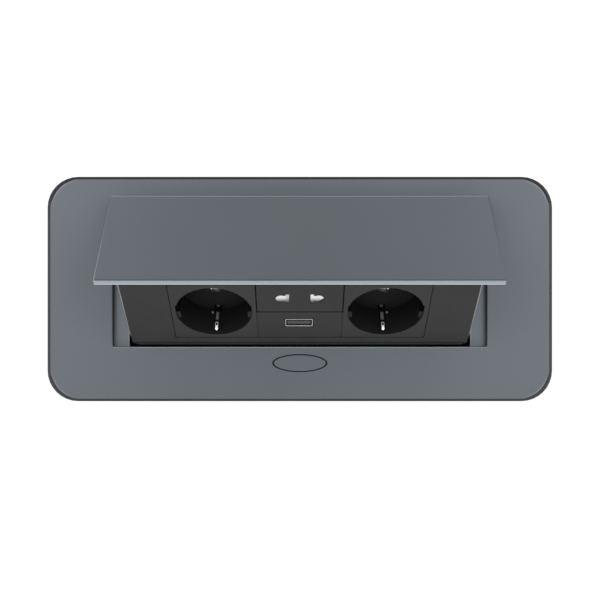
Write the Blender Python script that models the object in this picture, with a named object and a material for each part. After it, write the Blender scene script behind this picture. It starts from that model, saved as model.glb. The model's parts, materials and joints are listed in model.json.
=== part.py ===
"""In-desk power module: a grey faceplate with a flush lid, hinged at the rear.

The lid carries a black socket panel and swings up out of the desk. It is modelled
open, as it rests on its stops. The underside of the housing stands on Z = 0,
centred on the origin, and the front of the module faces -Y.

Lengths are in millimetres and are turned into metres where the meshes are made.
"""

import math

import bpy
from mathutils import Matrix, Vector

MM = 0.001
GAP = 0.3

# Faceplate; inside its rim the underside is cut back to seat the housing
PLATE_LENGTH = 280.0
PLATE_DEPTH = 124.5
PLATE_RADIUS = 17.0
PLATE_THICK = 3.0
PLATE_CHAMFER = 1.6
PLATE_SEAT = 2.6

# Lid, as a share of the plate's length and in half widths
LID_X = 0.3686 * PLATE_LENGTH
LID_Y = 31.7
LID_THICK = 3.4
LID_CHAMFER = 0.5
LID_ROUND = 0.5
LID_REAR_CUT = 4.4
LID_UNDER = LID_THICK + 0.4

# Opening in the faceplate for the lid, with a ledge along each short side
POCKET_X = LID_X + GAP
POCKET_Y = LID_Y + GAP
POCKET_CHAMFER = 0.4
POCKET_ROUND = 0.8
LEDGE_TOP = LID_THICK + GAP
LEDGE_THICK = 1.7
RIM_THICK = 2.0

# Sockets: the standard module of the trade, and the gap between two of them
MODULE = 45.0
MODULE_GAP = 0.2
MODULE_SEAM = 0.35

# Socket panel: its face leans back a little below the lid
FACE_Y = 2.55 - LID_Y
FACE_Z = -MODULE / 2 - 4.7
FACE_LEAN = 2.5
PANEL_X = LID_X - 11.7
PANEL_TOP = MODULE / 2 + 0.7
PANEL_BOTTOM = -MODULE / 2 - 7.1
PANEL_THICK = 2.5
PANEL_LIP = 12.0
PANEL_ROUND = 3.6
PANEL_FOOT = FACE_Z + PANEL_BOTTOM
LEDGE_X = PANEL_X + 3.4

# Side cheeks with their hinge arms
CHEEK_IN = PANEL_X + GAP
CHEEK_THICK = 1.2
CHEEK_OUT = CHEEK_IN + CHEEK_THICK
CHEEK_SET_BACK = 3.4
FLANGE_IN = CHEEK_IN - 8.8

# Hinge: axis along X, seen from the plate's top surface
HINGE_Y = POCKET_Y + 18.0
HINGE_Z = -22.8
OPEN_ANGLE = 41.2
PIN_RADIUS = 2.0
PIN_CLEARANCE = 0.3
EYE_RADIUS = 4.6
EAR_THICK = 1.5
EAR_IN = CHEEK_IN - 13.8
EAR_OUT = CHEEK_IN + 3.4
BRACKET_THICK = 1.9
BRACKET_FRONT = HINGE_Y - 12.0
BRACKET_REAR = HINGE_Y + 5.0

# Rear cover of the socket unit, in the frame of the panel's face
COVER_TOP = MODULE / 2 - 3.0
COVER_BOTTOM = -MODULE / 2 - 1.9
COVER_BACK = -LID_Y - 12.3
COVER_WALL = 1.8

# Earthed socket
SCHUKO_RECESS = 0.44 * MODULE
SCHUKO_DEPTH = 17.5
SCHUKO_FLOOR = 2.2
SCHUKO_WALL = 1.8
SCHUKO_DROP = 0.4
PIN_PITCH = 19.0
PIN_HOLE = 2.8

# Two-pin outlet
ROUND_X = 9.85
ROUND_HOLE = 2.75
FLAT_X = 6.35
FLAT_WIDTH = 2.0
FLAT_HEIGHT = 7.6
PIN_FACE = 1.3

# Charging port
PORT_X = -0.4
PORT_Y = -8.9
PORT_WIDTH = 14.8
PORT_HEIGHT = 6.2
PORT_WALL = 0.6
PORT_LENGTH = 15.0

# Release button, and the lever below it that lifts the closed unit off its magnet
BUTTON_Y = -POCKET_Y - 9.0
BUTTON_LONG = 29.6
BUTTON_SHORT = 9.7
STEM_RADIUS = 2.5
LEVER_Y = BUTTON_Y + 5.0
LEVER_Z = PANEL_FOOT - 4.1

# Housing below the plate
HOUSING_LENGTH = PLATE_LENGTH - 20.0
HOUSING_FRONT = BUTTON_Y - 16.0
HOUSING_REAR = HINGE_Y + 7.0
HOUSING_RADIUS = 12.0
HOUSING_WALL = 1.5
HOUSING_BOTTOM = 9.2 - PANEL_FOOT
HOUSING_TOP = -PLATE_SEAT - GAP
FLOOR_ROOT = 0.7 - HOUSING_BOTTOM
BOSS_INSET = 9.0
BOSS_RADIUS = 5.0
BOSS_LENGTH = 16.0

# Spring clips and cable gland on the housing's end walls
CLIP_Y = FACE_Y + 7.15
CLIP_Z = -42.0
CLIP_WIDTH = 16.0
CLIP_THICK = 0.8
GLAND_Y = HINGE_Y - 30.0
GLAND_Z = 20.0 - HOUSING_BOTTOM
GLAND_BORE = 3.2
GLAND_THREAD = 6.0
GLAND_FLANGE = 8.6
NUT_RADIUS = 9.4

SEGMENTS = 32

COLOURS = {
    "grey_metal": ((0.135, 0.145, 0.155), 0.45, 0.6),
    "black_plastic": ((0.043, 0.043, 0.043), 0.5, 0.0),
    "dark_plastic": ((0.02, 0.02, 0.021), 0.55, 0.0),
    "steel": ((0.55, 0.56, 0.57), 0.35, 1.0),
    "nickel": ((0.75, 0.75, 0.74), 0.25, 1.0),
    "brass": ((0.60, 0.42, 0.16), 0.35, 1.0),
    "board": ((0.02, 0.12, 0.05), 0.5, 0.0),
    "magnet": ((0.30, 0.30, 0.31), 0.3, 1.0),
}

DARK = "dark_plastic"
BLACK = "black_plastic"


def clear_scene():
    for item in list(bpy.data.objects):
        bpy.data.objects.remove(item, do_unlink=True)


def paint(item, kind):
    colour, roughness, metallic = COLOURS[kind]
    surface = bpy.data.materials.new(item.name)
    surface.use_nodes = True
    shader = surface.node_tree.nodes["Principled BSDF"]
    shader.inputs["Base Color"].default_value = (*colour, 1.0)
    shader.inputs["Roughness"].default_value = roughness
    shader.inputs["Metallic"].default_value = metallic
    surface.diffuse_color = (*colour, 1.0)
    item.data.materials.append(surface)


def solid(name, points, faces, kind=None, parent=None):
    """A closed mesh from points in millimetres; without a kind it is a cutter."""
    mesh = bpy.data.meshes.new(name)
    mesh.from_pydata([(x * MM, y * MM, z * MM) for x, y, z in points], [], faces)
    mesh.validate()
    item = bpy.data.objects.new(name, mesh)
    bpy.context.scene.collection.objects.link(item)
    item.parent = parent
    if kind is None:
        item.hide_render = True
        item.display_type = "WIRE"
    else:
        paint(item, kind)
        mesh.shade_smooth()
        mesh.set_sharp_from_angle(angle=math.radians(35))
    return item


def loft(name, loops, kind=None, parent=None):
    """Skin between loops of equal length, listed from one end to the other.

    Each loop runs anticlockwise as seen looking back along the direction of the list.
    """
    count = len(loops[0])
    points = [point for loop in loops for point in loop]
    faces = [tuple(reversed(range(count)))]
    for row in range(len(loops) - 1):
        base = row * count
        for i in range(count):
            j = (i + 1) % count
            faces.append((base + i, base + j, base + count + j, base + count + i))
    last = (len(loops) - 1) * count
    faces.append(tuple(range(last, last + count)))
    return solid(name, points, faces, kind, parent)


def level(outline, z):
    return [(x, y, z) for x, y in outline]


def prism(name, outline, low, high, kind=None, parent=None):
    """An outline in X and Y, anticlockwise, extruded along Z."""
    return loft(name, [level(outline, low), level(outline, high)], kind, parent)


def side_prism(name, outline, low, high, kind=None, parent=None):
    """An outline in Y and Z, anticlockwise, extruded along X."""
    ends = [[(x, y, z) for y, z in outline] for x in (low, high)]
    return loft(name, ends, kind, parent)


def box(name, x, y, z, kind=None, parent=None):
    return prism(name, [(x[0], y[0]), (x[1], y[0]), (x[1], y[1]), (x[0], y[1])], *z, kind, parent)


def arc(centre, radius, start, end, steps):
    """Points on an arc, angles in degrees."""
    points = []
    for i in range(steps + 1):
        angle = math.radians(start + (end - start) * i / steps)
        points.append((centre[0] + radius * math.cos(angle), centre[1] + radius * math.sin(angle)))
    return points


def ellipse(centre, half_x, half_y, steps=SEGMENTS):
    points = []
    for i in range(steps):
        angle = math.tau * i / steps
        points.append((centre[0] + half_x * math.cos(angle), centre[1] + half_y * math.sin(angle)))
    return points


def rounded(x0, x1, y0, y1, radius, steps=6):
    """A rectangle with round corners, anticlockwise."""
    corners = ((x1, y0, -90), (x1, y1, 0), (x0, y1, 90), (x0, y0, 180))
    points = []
    for x, y, start in corners:
        centre = (
            x - radius if x == x1 else x + radius,
            y - radius if y == y1 else y + radius,
        )
        points += arc(centre, radius, start, start + 90, steps)
    return points


def turned(name, profile, kind=None, parent=None, axis="Z", at=(0.0, 0.0, 0.0), steps=SEGMENTS):
    """A profile of (radius, height) from the lower end of the axis to the upper, turned round it.

    With a bore, the profile starts and ends at the bore and is closed along it.
    """
    turn = Matrix.Rotation(math.radians(90), 3, "Y") if axis == "X" else Matrix.Identity(3)

    def place(radius, height, i):
        angle = math.tau * i / steps
        x, y, z = turn @ Vector((radius * math.cos(angle), radius * math.sin(angle), height))
        return (x + at[0], y + at[1], z + at[2])

    bored = profile[0][0] > 0
    points = []
    rows = []
    for radius, height in profile:
        if radius == 0:
            rows.append([len(points)])
            points.append(place(0.0, height, 0))
        else:
            rows.append(list(range(len(points), len(points) + steps)))
            points += [place(radius, height, i) for i in range(steps)]
    pairs = list(zip(rows, rows[1:]))
    if bored:
        pairs.append((rows[-1], rows[0]))
    faces = []
    for lower, upper in pairs:
        for i in range(steps):
            j = (i + 1) % steps
            if len(lower) == 1:
                faces.append((lower[0], upper[j], upper[i]))
            elif len(upper) == 1:
                faces.append((lower[i], lower[j], upper[0]))
            else:
                faces.append((lower[i], lower[j], upper[j], upper[i]))
    return solid(name, points, faces, kind, parent)


def drill(name, radius, low, high, parent, axis="Z", at=(0.0, 0.0, 0.0), steps=14):
    """A round cutter between two heights on its axis."""
    return turned(name, [(0, low), (radius, low), (radius, high), (0, high)], None, parent, axis, at, steps)


def tube(name, path, radius, kind, parent=None, sides=6):
    """A round wire along a list of points, with flat ends."""
    spots = [Vector(point) for point in path]
    normal = None
    rings = []
    for i, spot in enumerate(spots):
        ahead = spots[min(i + 1, len(spots) - 1)] - spots[max(i - 1, 0)]
        ahead.normalize()
        if normal is None:
            normal = ahead.orthogonal().normalized()
        normal = (normal - ahead * normal.dot(ahead)).normalized()
        across = ahead.cross(normal)
        ring = []
        for k in range(sides):
            angle = math.tau * k / sides
            ring.append(tuple(spot + (normal * math.cos(angle) + across * math.sin(angle)) * radius))
        rings.append(ring)
    return loft(name, rings, kind, parent)


def combine(item, other, operation):
    change = item.modifiers.new(other.name, "BOOLEAN")
    change.operation = operation
    change.solver = "EXACT"
    change.object = other
    other.hide_render = True
    other.display_type = "WIRE"


def cut(item, *others):
    for other in others:
        combine(item, other, "DIFFERENCE")


def join(item, *others):
    for other in others:
        combine(item, other, "UNION")


def screw(name, shank, length, head, head_height, kind, parent=None, at=(0, 0, 0), axis="Z", flip=1):
    """A pan-head screw whose head's bearing face is at its own zero; the shank goes up."""
    profile = [
        (0, -head_height * 0.5),
        (head * 0.4, -head_height),
        (head * 0.8, -head_height),
        (head, -head_height * 0.5),
        (head, 0),
        (shank, 0),
        (shank, length),
        (0, length),
    ]
    if flip < 0:
        profile = [(radius, -height) for radius, height in reversed(profile)]
    return turned(name, profile, kind, parent, axis, at, 10)


def mirrored(name, build):
    """Build a piece on each side; the builder takes the name and the side's sign."""
    return [build(f"{name}_left", -1), build(f"{name}_right", 1)]


def span(sign, low, high):
    """A range of X mirrored to its side, still in rising order."""
    return (low, high) if sign > 0 else (-high, -low)


def at_hinge(name, angle):
    """The frame of the lid and panel: closed coordinates, turned open about the hinge."""
    pivot = bpy.data.objects.new(name, None)
    bpy.context.scene.collection.objects.link(pivot)
    pivot.parent = DESK
    pivot.location = (0.0, HINGE_Y * MM, HINGE_Z * MM)
    pivot.rotation_euler = (math.radians(-angle), 0.0, 0.0)
    frame = bpy.data.objects.new(f"{name}_frame", None)
    bpy.context.scene.collection.objects.link(frame)
    frame.parent = pivot
    frame.location = (0.0, -HINGE_Y * MM, -HINGE_Z * MM)
    return frame


def on_face(parent):
    """The frame of the panel's face: X across, Y up the face, Z outwards."""
    frame = bpy.data.objects.new("panel_face_frame", None)
    bpy.context.scene.collection.objects.link(frame)
    frame.parent = parent
    frame.location = (0.0, FACE_Y * MM, FACE_Z * MM)
    frame.rotation_euler = (math.radians(90 + FACE_LEAN), 0.0, 0.0)
    return frame


# ---- fixed pieces ----


def make_faceplate():
    half_x, half_y = PLATE_LENGTH / 2, PLATE_DEPTH / 2
    inset = PLATE_CHAMFER

    def outline(shrink):
        return rounded(
            -half_x + shrink, half_x - shrink, -half_y + shrink, half_y - shrink, PLATE_RADIUS - shrink, 8
        )

    plate = loft(
        "faceplate",
        [level(outline(0), -PLATE_THICK), level(outline(0), -inset), level(outline(inset), 0)],
        "grey_metal",
        DESK,
    )
    for sign in (-1, 1):
        rim = box(
            f"plate_rim_{sign}",
            span(sign, LEDGE_X - 1, POCKET_X + RIM_THICK),
            (-POCKET_Y - RIM_THICK, POCKET_Y + RIM_THICK),
            (-LEDGE_TOP - LEDGE_THICK, -PLATE_THICK / 2),
            None,
            DESK,
        )
        join(plate, rim)
    round_housing = housing_outline(-2 * GAP, HOUSING_RADIUS)
    seat = prism("plate_seat", round_housing, -PLATE_THICK - 1, -PLATE_SEAT, None, DESK)
    ledges = box(
        "plate_seat_keep",
        (-POCKET_X - RIM_THICK, POCKET_X + RIM_THICK),
        (-POCKET_Y - RIM_THICK, POCKET_Y + RIM_THICK),
        (-PLATE_THICK - 2, -PLATE_SEAT + 1),
        None,
        DESK,
    )
    cut(seat, ledges)
    cut(plate, seat)
    edge = POCKET_CHAMFER
    pocket = loft(
        "plate_pocket",
        [
            level(rounded(-POCKET_X, POCKET_X, -POCKET_Y, POCKET_Y, POCKET_ROUND, 3), -LEDGE_TOP),
            level(rounded(-POCKET_X, POCKET_X, -POCKET_Y, POCKET_Y, POCKET_ROUND, 3), -edge),
            level(
                rounded(
                    -POCKET_X - 2 * edge,
                    POCKET_X + 2 * edge,
                    -POCKET_Y - 2 * edge,
                    POCKET_Y + 2 * edge,
                    POCKET_ROUND + 2 * edge,
                    3,
                ),
                edge,
            ),
        ],
        None,
        DESK,
    )
    wide, deep = (-LEDGE_X, LEDGE_X), (-POCKET_Y, POCKET_Y)
    window = box("plate_window", wide, deep, (-12, -PLATE_THICK / 2), None, DESK)
    hole = prism(
        "plate_button_hole",
        ellipse((0, BUTTON_Y), BUTTON_LONG / 2, BUTTON_SHORT / 2, 40),
        -6,
        3,
        None,
        DESK,
    )
    cut(plate, pocket, window, hole)
    for n, (x, y) in enumerate(boss_places() + bracket_screw_places()):
        tap = drill(f"plate_tap_{n}", 1.8, -8, -1.0, DESK, "Z", (x, y, 0))
        cut(plate, tap)
    return plate


def housing_outline(shrink, radius):
    half_x = HOUSING_LENGTH / 2 - shrink
    return rounded(-half_x, half_x, HOUSING_FRONT + shrink, HOUSING_REAR - shrink, radius, 6)


def boss_places():
    x = HOUSING_LENGTH / 2 - BOSS_INSET
    front, rear = HOUSING_FRONT + BOSS_INSET, HOUSING_REAR - BOSS_INSET
    return [(sign * x, y) for sign in (-1, 1) for y in (front, rear)]


def bracket_screw_places():
    spots = ((EAR_IN + 5.5, HINGE_Y - 7.0), (CHEEK_IN - 4.3, HINGE_Y + 0.5))
    return [(sign * x, y) for sign in (-1, 1) for x, y in spots]


def make_housing():
    half_x = HOUSING_LENGTH / 2
    top = HOUSING_TOP
    wall = HOUSING_WALL
    foot = 4.0
    tub = loft(
        "housing",
        [
            level(housing_outline(foot * 0.5, HOUSING_RADIUS), -HOUSING_BOTTOM),
            level(housing_outline(0, HOUSING_RADIUS), -HOUSING_BOTTOM + foot),
            level(housing_outline(0, HOUSING_RADIUS), top),
        ],
        DARK,
        DESK,
    )
    hollow = loft(
        "housing_hollow",
        [
            level(housing_outline(foot * 0.5 + wall, HOUSING_RADIUS - wall), -HOUSING_BOTTOM + wall),
            level(housing_outline(wall, HOUSING_RADIUS - wall), -HOUSING_BOTTOM + foot + wall * 0.4),
            level(housing_outline(wall, HOUSING_RADIUS - wall), 5),
        ],
        None,
        DESK,
    )
    cut(tub, hollow)
    for n, (x, y) in enumerate(boss_places()):
        sign_x, sign_y = math.copysign(1, x), math.copysign(1, y)
        wall_y = (HOUSING_REAR if y > 0 else HOUSING_FRONT) - sign_y * wall * 0.5
        corner = [
            (x - BOSS_RADIUS * sign_x, y - BOSS_RADIUS * sign_y),
            (sign_x * (half_x - wall * 0.5), y - BOSS_RADIUS * sign_y),
            (sign_x * (half_x - wall * 0.5), y + sign_y * 3.0),
            (x + sign_x * 3.0, wall_y),
            (x - BOSS_RADIUS * sign_x, wall_y),
        ]
        if sign_x * sign_y < 0:
            corner.reverse()
        join(tub, prism(f"housing_boss_{n}", corner, top - BOSS_LENGTH, top, None, DESK))
        cut(tub, drill(f"housing_bore_{n}", 1.9, -30, 5, DESK, "Z", (x, y, 0)))
    # Guide for the button's stem, lugs for the lever's pin and the post under the magnet
    guide = box("stem_guide", (-7, 7), (HOUSING_FRONT + 0.5, BUTTON_Y + 6), (-32, -28), None, DESK)
    join(tub, guide)
    cut(tub, drill("stem_guide_hole", STEM_RADIUS + 0.35, -40, -20, DESK, "Z", (0, BUTTON_Y, 0), 20))
    for sign in (-1, 1):
        lug = side_prism(
            f"lever_lug_{sign}",
            [(LEVER_Y - 5, FLOOR_ROOT), (LEVER_Y + 5, FLOOR_ROOT)] + arc((LEVER_Y, LEVER_Z), 3.4, 0, 180, 8),
            *span(sign, 7.0, 10.0),
            None,
            DESK,
        )
        join(tub, lug)
    cut(tub, drill("lever_lug_hole", 1.7, -14, 14, DESK, "X", (0, LEVER_Y, LEVER_Z)))
    near, far = FACE_Y + 4.15, FACE_Y + 12.15
    join(tub, box("magnet_post", (-9, 9), (near, far), (FLOOR_ROOT, PANEL_FOOT - 4.5), None, DESK))
    cut(tub, drill("gland_hole", GLAND_THREAD + GAP, -8, 8, DESK, "X", (half_x, GLAND_Y, GLAND_Z), 24))
    for sign in (-1, 1):
        cut(tub, drill(f"clip_hole_{sign}", 1.8, -8, 8, DESK, "X", (sign * half_x, CLIP_Y, CLIP_Z)))
    return tub


def make_housing_screws():
    for n, (x, y) in enumerate(boss_places()):
        z = HOUSING_TOP - BOSS_LENGTH - GAP
        screw(f"housing_screw_{n + 1}", 1.5, -1.3 - z, 3.0, 2.2, "steel", DESK, (x, y, z))


def make_spring_clips():
    """Leaf springs on the end walls, which spread under the desk top and hold the module down."""

    def clip(name, sign):
        wall = HOUSING_LENGTH / 2 + GAP
        thick = CLIP_THICK
        bends = ((0, -8), (0, 12), (6.0, 30), (4.6, 33.8), (0.6, 36))
        path = [(wall + x + thick, CLIP_Z + z) for x, z in bends]
        back = [(wall + x, CLIP_Z + z) for x, z in bends]
        back[3] = (wall + 4.0, CLIP_Z + 33.1)
        back[4] = (wall + 0.4, CLIP_Z + 35.2)
        outline = path + list(reversed(back))
        low, high = CLIP_Y - CLIP_WIDTH / 2, CLIP_Y + CLIP_WIDTH / 2
        ends = [[(sign * x, y, z) for x, z in outline] for y in (low, high)]
        if sign > 0:
            ends.reverse()
        leaf = loft(name, ends, "steel", DESK)
        hole = drill(f"{name}_hole", 1.8, -8, 8, DESK, "X", (sign * wall, CLIP_Y, CLIP_Z))
        cut(leaf, hole)
        return leaf

    mirrored("spring_clip", clip)

    def rivet(name, sign):
        outside = HOUSING_LENGTH / 2 + 2 * GAP + CLIP_THICK
        inside = HOUSING_LENGTH / 2 - HOUSING_WALL - GAP
        profile = [
            (0, inside - 1.2),
            (2.4, inside - 1.2),
            (2.9, inside - 0.6),
            (2.9, inside),
            (1.5, inside),
            (1.5, outside),
            (3.0, outside),
            (2.6, outside + 0.9),
            (0, outside + 1.3),
        ]
        if sign < 0:
            profile = [(radius, -height) for radius, height in reversed(profile)]
        return turned(name, profile, "steel", DESK, "X", (0, CLIP_Y, CLIP_Z), 10)

    mirrored("clip_rivet", rivet)


def make_hinge():
    base_top = HOUSING_TOP
    base = base_top - BRACKET_THICK

    def bracket(name, sign):
        plate = box(
            name,
            span(sign, EAR_IN, EAR_OUT + EAR_THICK + 0.8),
            (BRACKET_FRONT, BRACKET_REAR),
            (base, base_top),
            "steel",
            DESK,
        )
        for n, inner in enumerate((EAR_IN, EAR_OUT)):
            ear = side_prism(
                f"{name}_ear_{n}",
                [(HINGE_Y - 7.5, base + 0.7)]
                + [(HINGE_Y - 7.5, HINGE_Z + 2)]
                + arc((HINGE_Y, HINGE_Z), 5.0, 190, 350, 8)
                + [(BRACKET_REAR, HINGE_Z + 2), (BRACKET_REAR, base + 0.7)],
                *span(sign, inner, inner + EAR_THICK),
                None,
                DESK,
            )
            join(plate, ear)
        centre = (sign * CHEEK_IN, HINGE_Y, HINGE_Z)
        bore = drill(f"{name}_bore", PIN_RADIUS + 0.2, -20, 20, DESK, "X", centre, 18)
        cut(plate, bore)
        for n, (x, y) in enumerate(bracket_screw_places()):
            if x * sign > 0:
                cut(plate, drill(f"{name}_tap_{n}", 1.8, -9, 2, DESK, "Z", (x, y, 0)))
        return plate

    mirrored("hinge_bracket", bracket)

    def pin(name, sign):
        head = EAR_OUT + EAR_THICK + GAP
        profile = [
            (0, EAR_IN - 1.8),
            (PIN_RADIUS - 0.4, EAR_IN - 1.8),
            (PIN_RADIUS, EAR_IN - 1.4),
            (PIN_RADIUS, head),
            (3.4, head),
            (3.4, head + 1.0),
            (2.9, head + 1.4),
            (0, head + 1.4),
        ]
        if sign < 0:
            profile = [(radius, -height) for radius, height in reversed(profile)]
        return turned(name, profile, "steel", DESK, "X", (0, HINGE_Y, HINGE_Z), 18)

    mirrored("hinge_pin", pin)

    def spring(name, sign):
        wire, coil, turns, steps = 0.6, 3.6, 5, 10
        start, end = EAR_IN + 2.4, EAR_IN + 11.4
        path = []
        count = turns * steps + steps // 2
        for i in range(count + 1):
            angle = math.tau * i / steps + math.radians(90)
            x = start + (end - start) * i / count
            path.append((sign * x, HINGE_Y + coil * math.cos(angle), HINGE_Z + coil * math.sin(angle)))
        first = (sign * start, HINGE_Y + coil + 0.2, base - 1.2)
        lead = (path[0][0], path[0][1] + 2.2, path[0][2] + 0.1)
        last = (sign * (end + 1.0), path[-1][1] - 16.0, path[-1][2] + 4.0)
        return tube(name, [first, lead] + path[1:-1] + [last], wire, "steel", DESK, 5)

    mirrored("torsion_spring", spring)
    for n, (x, y) in enumerate(bracket_screw_places()):
        z = base - GAP
        screw(f"bracket_screw_{n + 1}", 1.5, -1.3 - z, 2.8, 1.8, "steel", DESK, (x, y, z))


def make_gland():
    """Cable inlet in the end wall: a bush with a bore, and its nut inside."""
    wall = HOUSING_LENGTH / 2
    inner, outer = wall - 8.5, wall + GAP
    profile = [
        (GLAND_BORE, inner),
        (GLAND_THREAD, inner),
        (GLAND_THREAD, outer),
        (GLAND_FLANGE, outer),
        (GLAND_FLANGE, outer + 2.6),
        (GLAND_FLANGE - 1.2, outer + 3.0),
        (GLAND_FLANGE - 2.0, outer + 6.6),
        (GLAND_FLANGE - 3.2, outer + 7.8),
        (GLAND_BORE, outer + 7.8),
    ]
    turned("cable_gland", profile, DARK, DESK, "X", (0, GLAND_Y, GLAND_Z), 24)
    nut_out = wall - HOUSING_WALL - GAP
    outline = arc((GLAND_Y, GLAND_Z), NUT_RADIUS, 30, 330, 5)
    nut = side_prism("gland_nut", outline, nut_out - 4.0, nut_out, DARK, DESK)
    cut(nut, drill("gland_nut_bore", GLAND_THREAD + GAP, -20, 20, DESK, "X", (wall, GLAND_Y, GLAND_Z), 24))


def make_release():
    """Oval push button on a stem, its return spring, and the lever that lifts the closed unit."""
    half_x = BUTTON_LONG / 2 - GAP
    half_y = BUTTON_SHORT / 2 - GAP
    pivot = bpy.data.objects.new("button_slide", None)
    bpy.context.scene.collection.objects.link(pivot)
    pivot.parent = DESK
    pivot.location = (0.0, BUTTON_Y * MM, 0.0)
    edge = 0.35
    cap = loft(
        "push_button",
        [
            level(ellipse((0, 0), half_x + 1.8, half_y + 1.8, 40), -5.2),
            level(ellipse((0, 0), half_x + 1.8, half_y + 1.8, 40), -3.4),
            level(ellipse((0, 0), half_x, half_y, 40), -3.3),
            level(ellipse((0, 0), half_x, half_y, 40), -edge),
            level(ellipse((0, 0), half_x - edge, half_y - edge, 40), 0),
        ],
        "grey_metal",
        pivot,
    )
    tip = LEVER_Z + 3.6
    stem = turned(
        "button_stem",
        [(0, tip), (STEM_RADIUS - 0.6, tip), (STEM_RADIUS, tip + 0.6), (STEM_RADIUS, -4.0), (0, -4.0)],
        None,
        pivot,
        steps=20,
    )
    join(cap, stem)

    turns, steps = 6, 10
    count = turns * steps
    path = []
    for i in range(count + 1):
        angle = math.tau * i / steps
        z = -27.2 + (21.2 * i / count)
        path.append((3.6 * math.cos(angle), 3.6 * math.sin(angle) + BUTTON_Y, z))
    tube("button_spring", path, 0.4, "steel", DESK, 5)

    rocker = bpy.data.objects.new("lever_pivot", None)
    bpy.context.scene.collection.objects.link(rocker)
    rocker.parent = DESK
    rocker.location = (0.0, LEVER_Y * MM, LEVER_Z * MM)
    outline = (
        arc((0, 0), 2.7, 200, 290, 5)
        + [(6.5, -2.4), (8.6, -1.6), (8.8, -0.5), (6.0, 0.2)]
        + arc((0, 0), 2.7, 30, 140, 6)
        + [(-3.3, 1.5)]
        + arc((-5.0, 2.4), 1.0, 0, 200, 8)
    )
    lever = side_prism("release_lever", outline, -6.4, 6.4, DARK, rocker)
    cut(lever, drill("lever_bore", 1.6, -12, 12, rocker, "X", steps=14))
    turned(
        "lever_pin",
        [(0, -11), (1.3, -11), (1.3, 11), (0, 11)],
        "steel",
        DESK,
        "X",
        (0, LEVER_Y, LEVER_Z),
        14,
    )
    near, far = FACE_Y + 4.75, FACE_Y + 11.55
    box("catch_magnet", (-8, 8), (near, far), (PANEL_FOOT - 4.2, PANEL_FOOT - 1.4), "magnet", DESK)


# ---- pieces that swing with the lid ----


def make_lid():
    edge = LID_CHAMFER
    small = 0.4

    def ring(side, front, rear, z, radius=LID_ROUND):
        return level(rounded(-side, side, front, rear, radius, 3), z)

    lid = loft(
        "lid",
        [
            ring(LID_X - small, -LID_Y + small, LID_Y - LID_REAR_CUT - small, -LID_THICK),
            ring(LID_X, -LID_Y, LID_Y - LID_REAR_CUT + small * 0.2, -LID_THICK + small),
            ring(LID_X, -LID_Y, LID_Y - 0.35, -edge),
            ring(LID_X - edge, -LID_Y + edge, LID_Y - 0.75, 0),
        ],
        "grey_metal",
        UNIT,
    )
    for n, (x, y) in enumerate(lid_screw_places()):
        tap = drill(f"lid_tap_{n}", 1.7, -8, -1.0, UNIT, "Z", (x, y, 0))
        cut(lid, tap)


def lid_screw_places():
    return [(sign * (CHEEK_IN - 5.3), y) for sign in (-1, 1) for y in (FACE_Y + 15.15, FACE_Y + 35.15)]


def cheek_rivet_places():
    return [(FACE_Y + 15.15, -20.0), (FACE_Y + 33.15, -40.0)]


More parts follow.
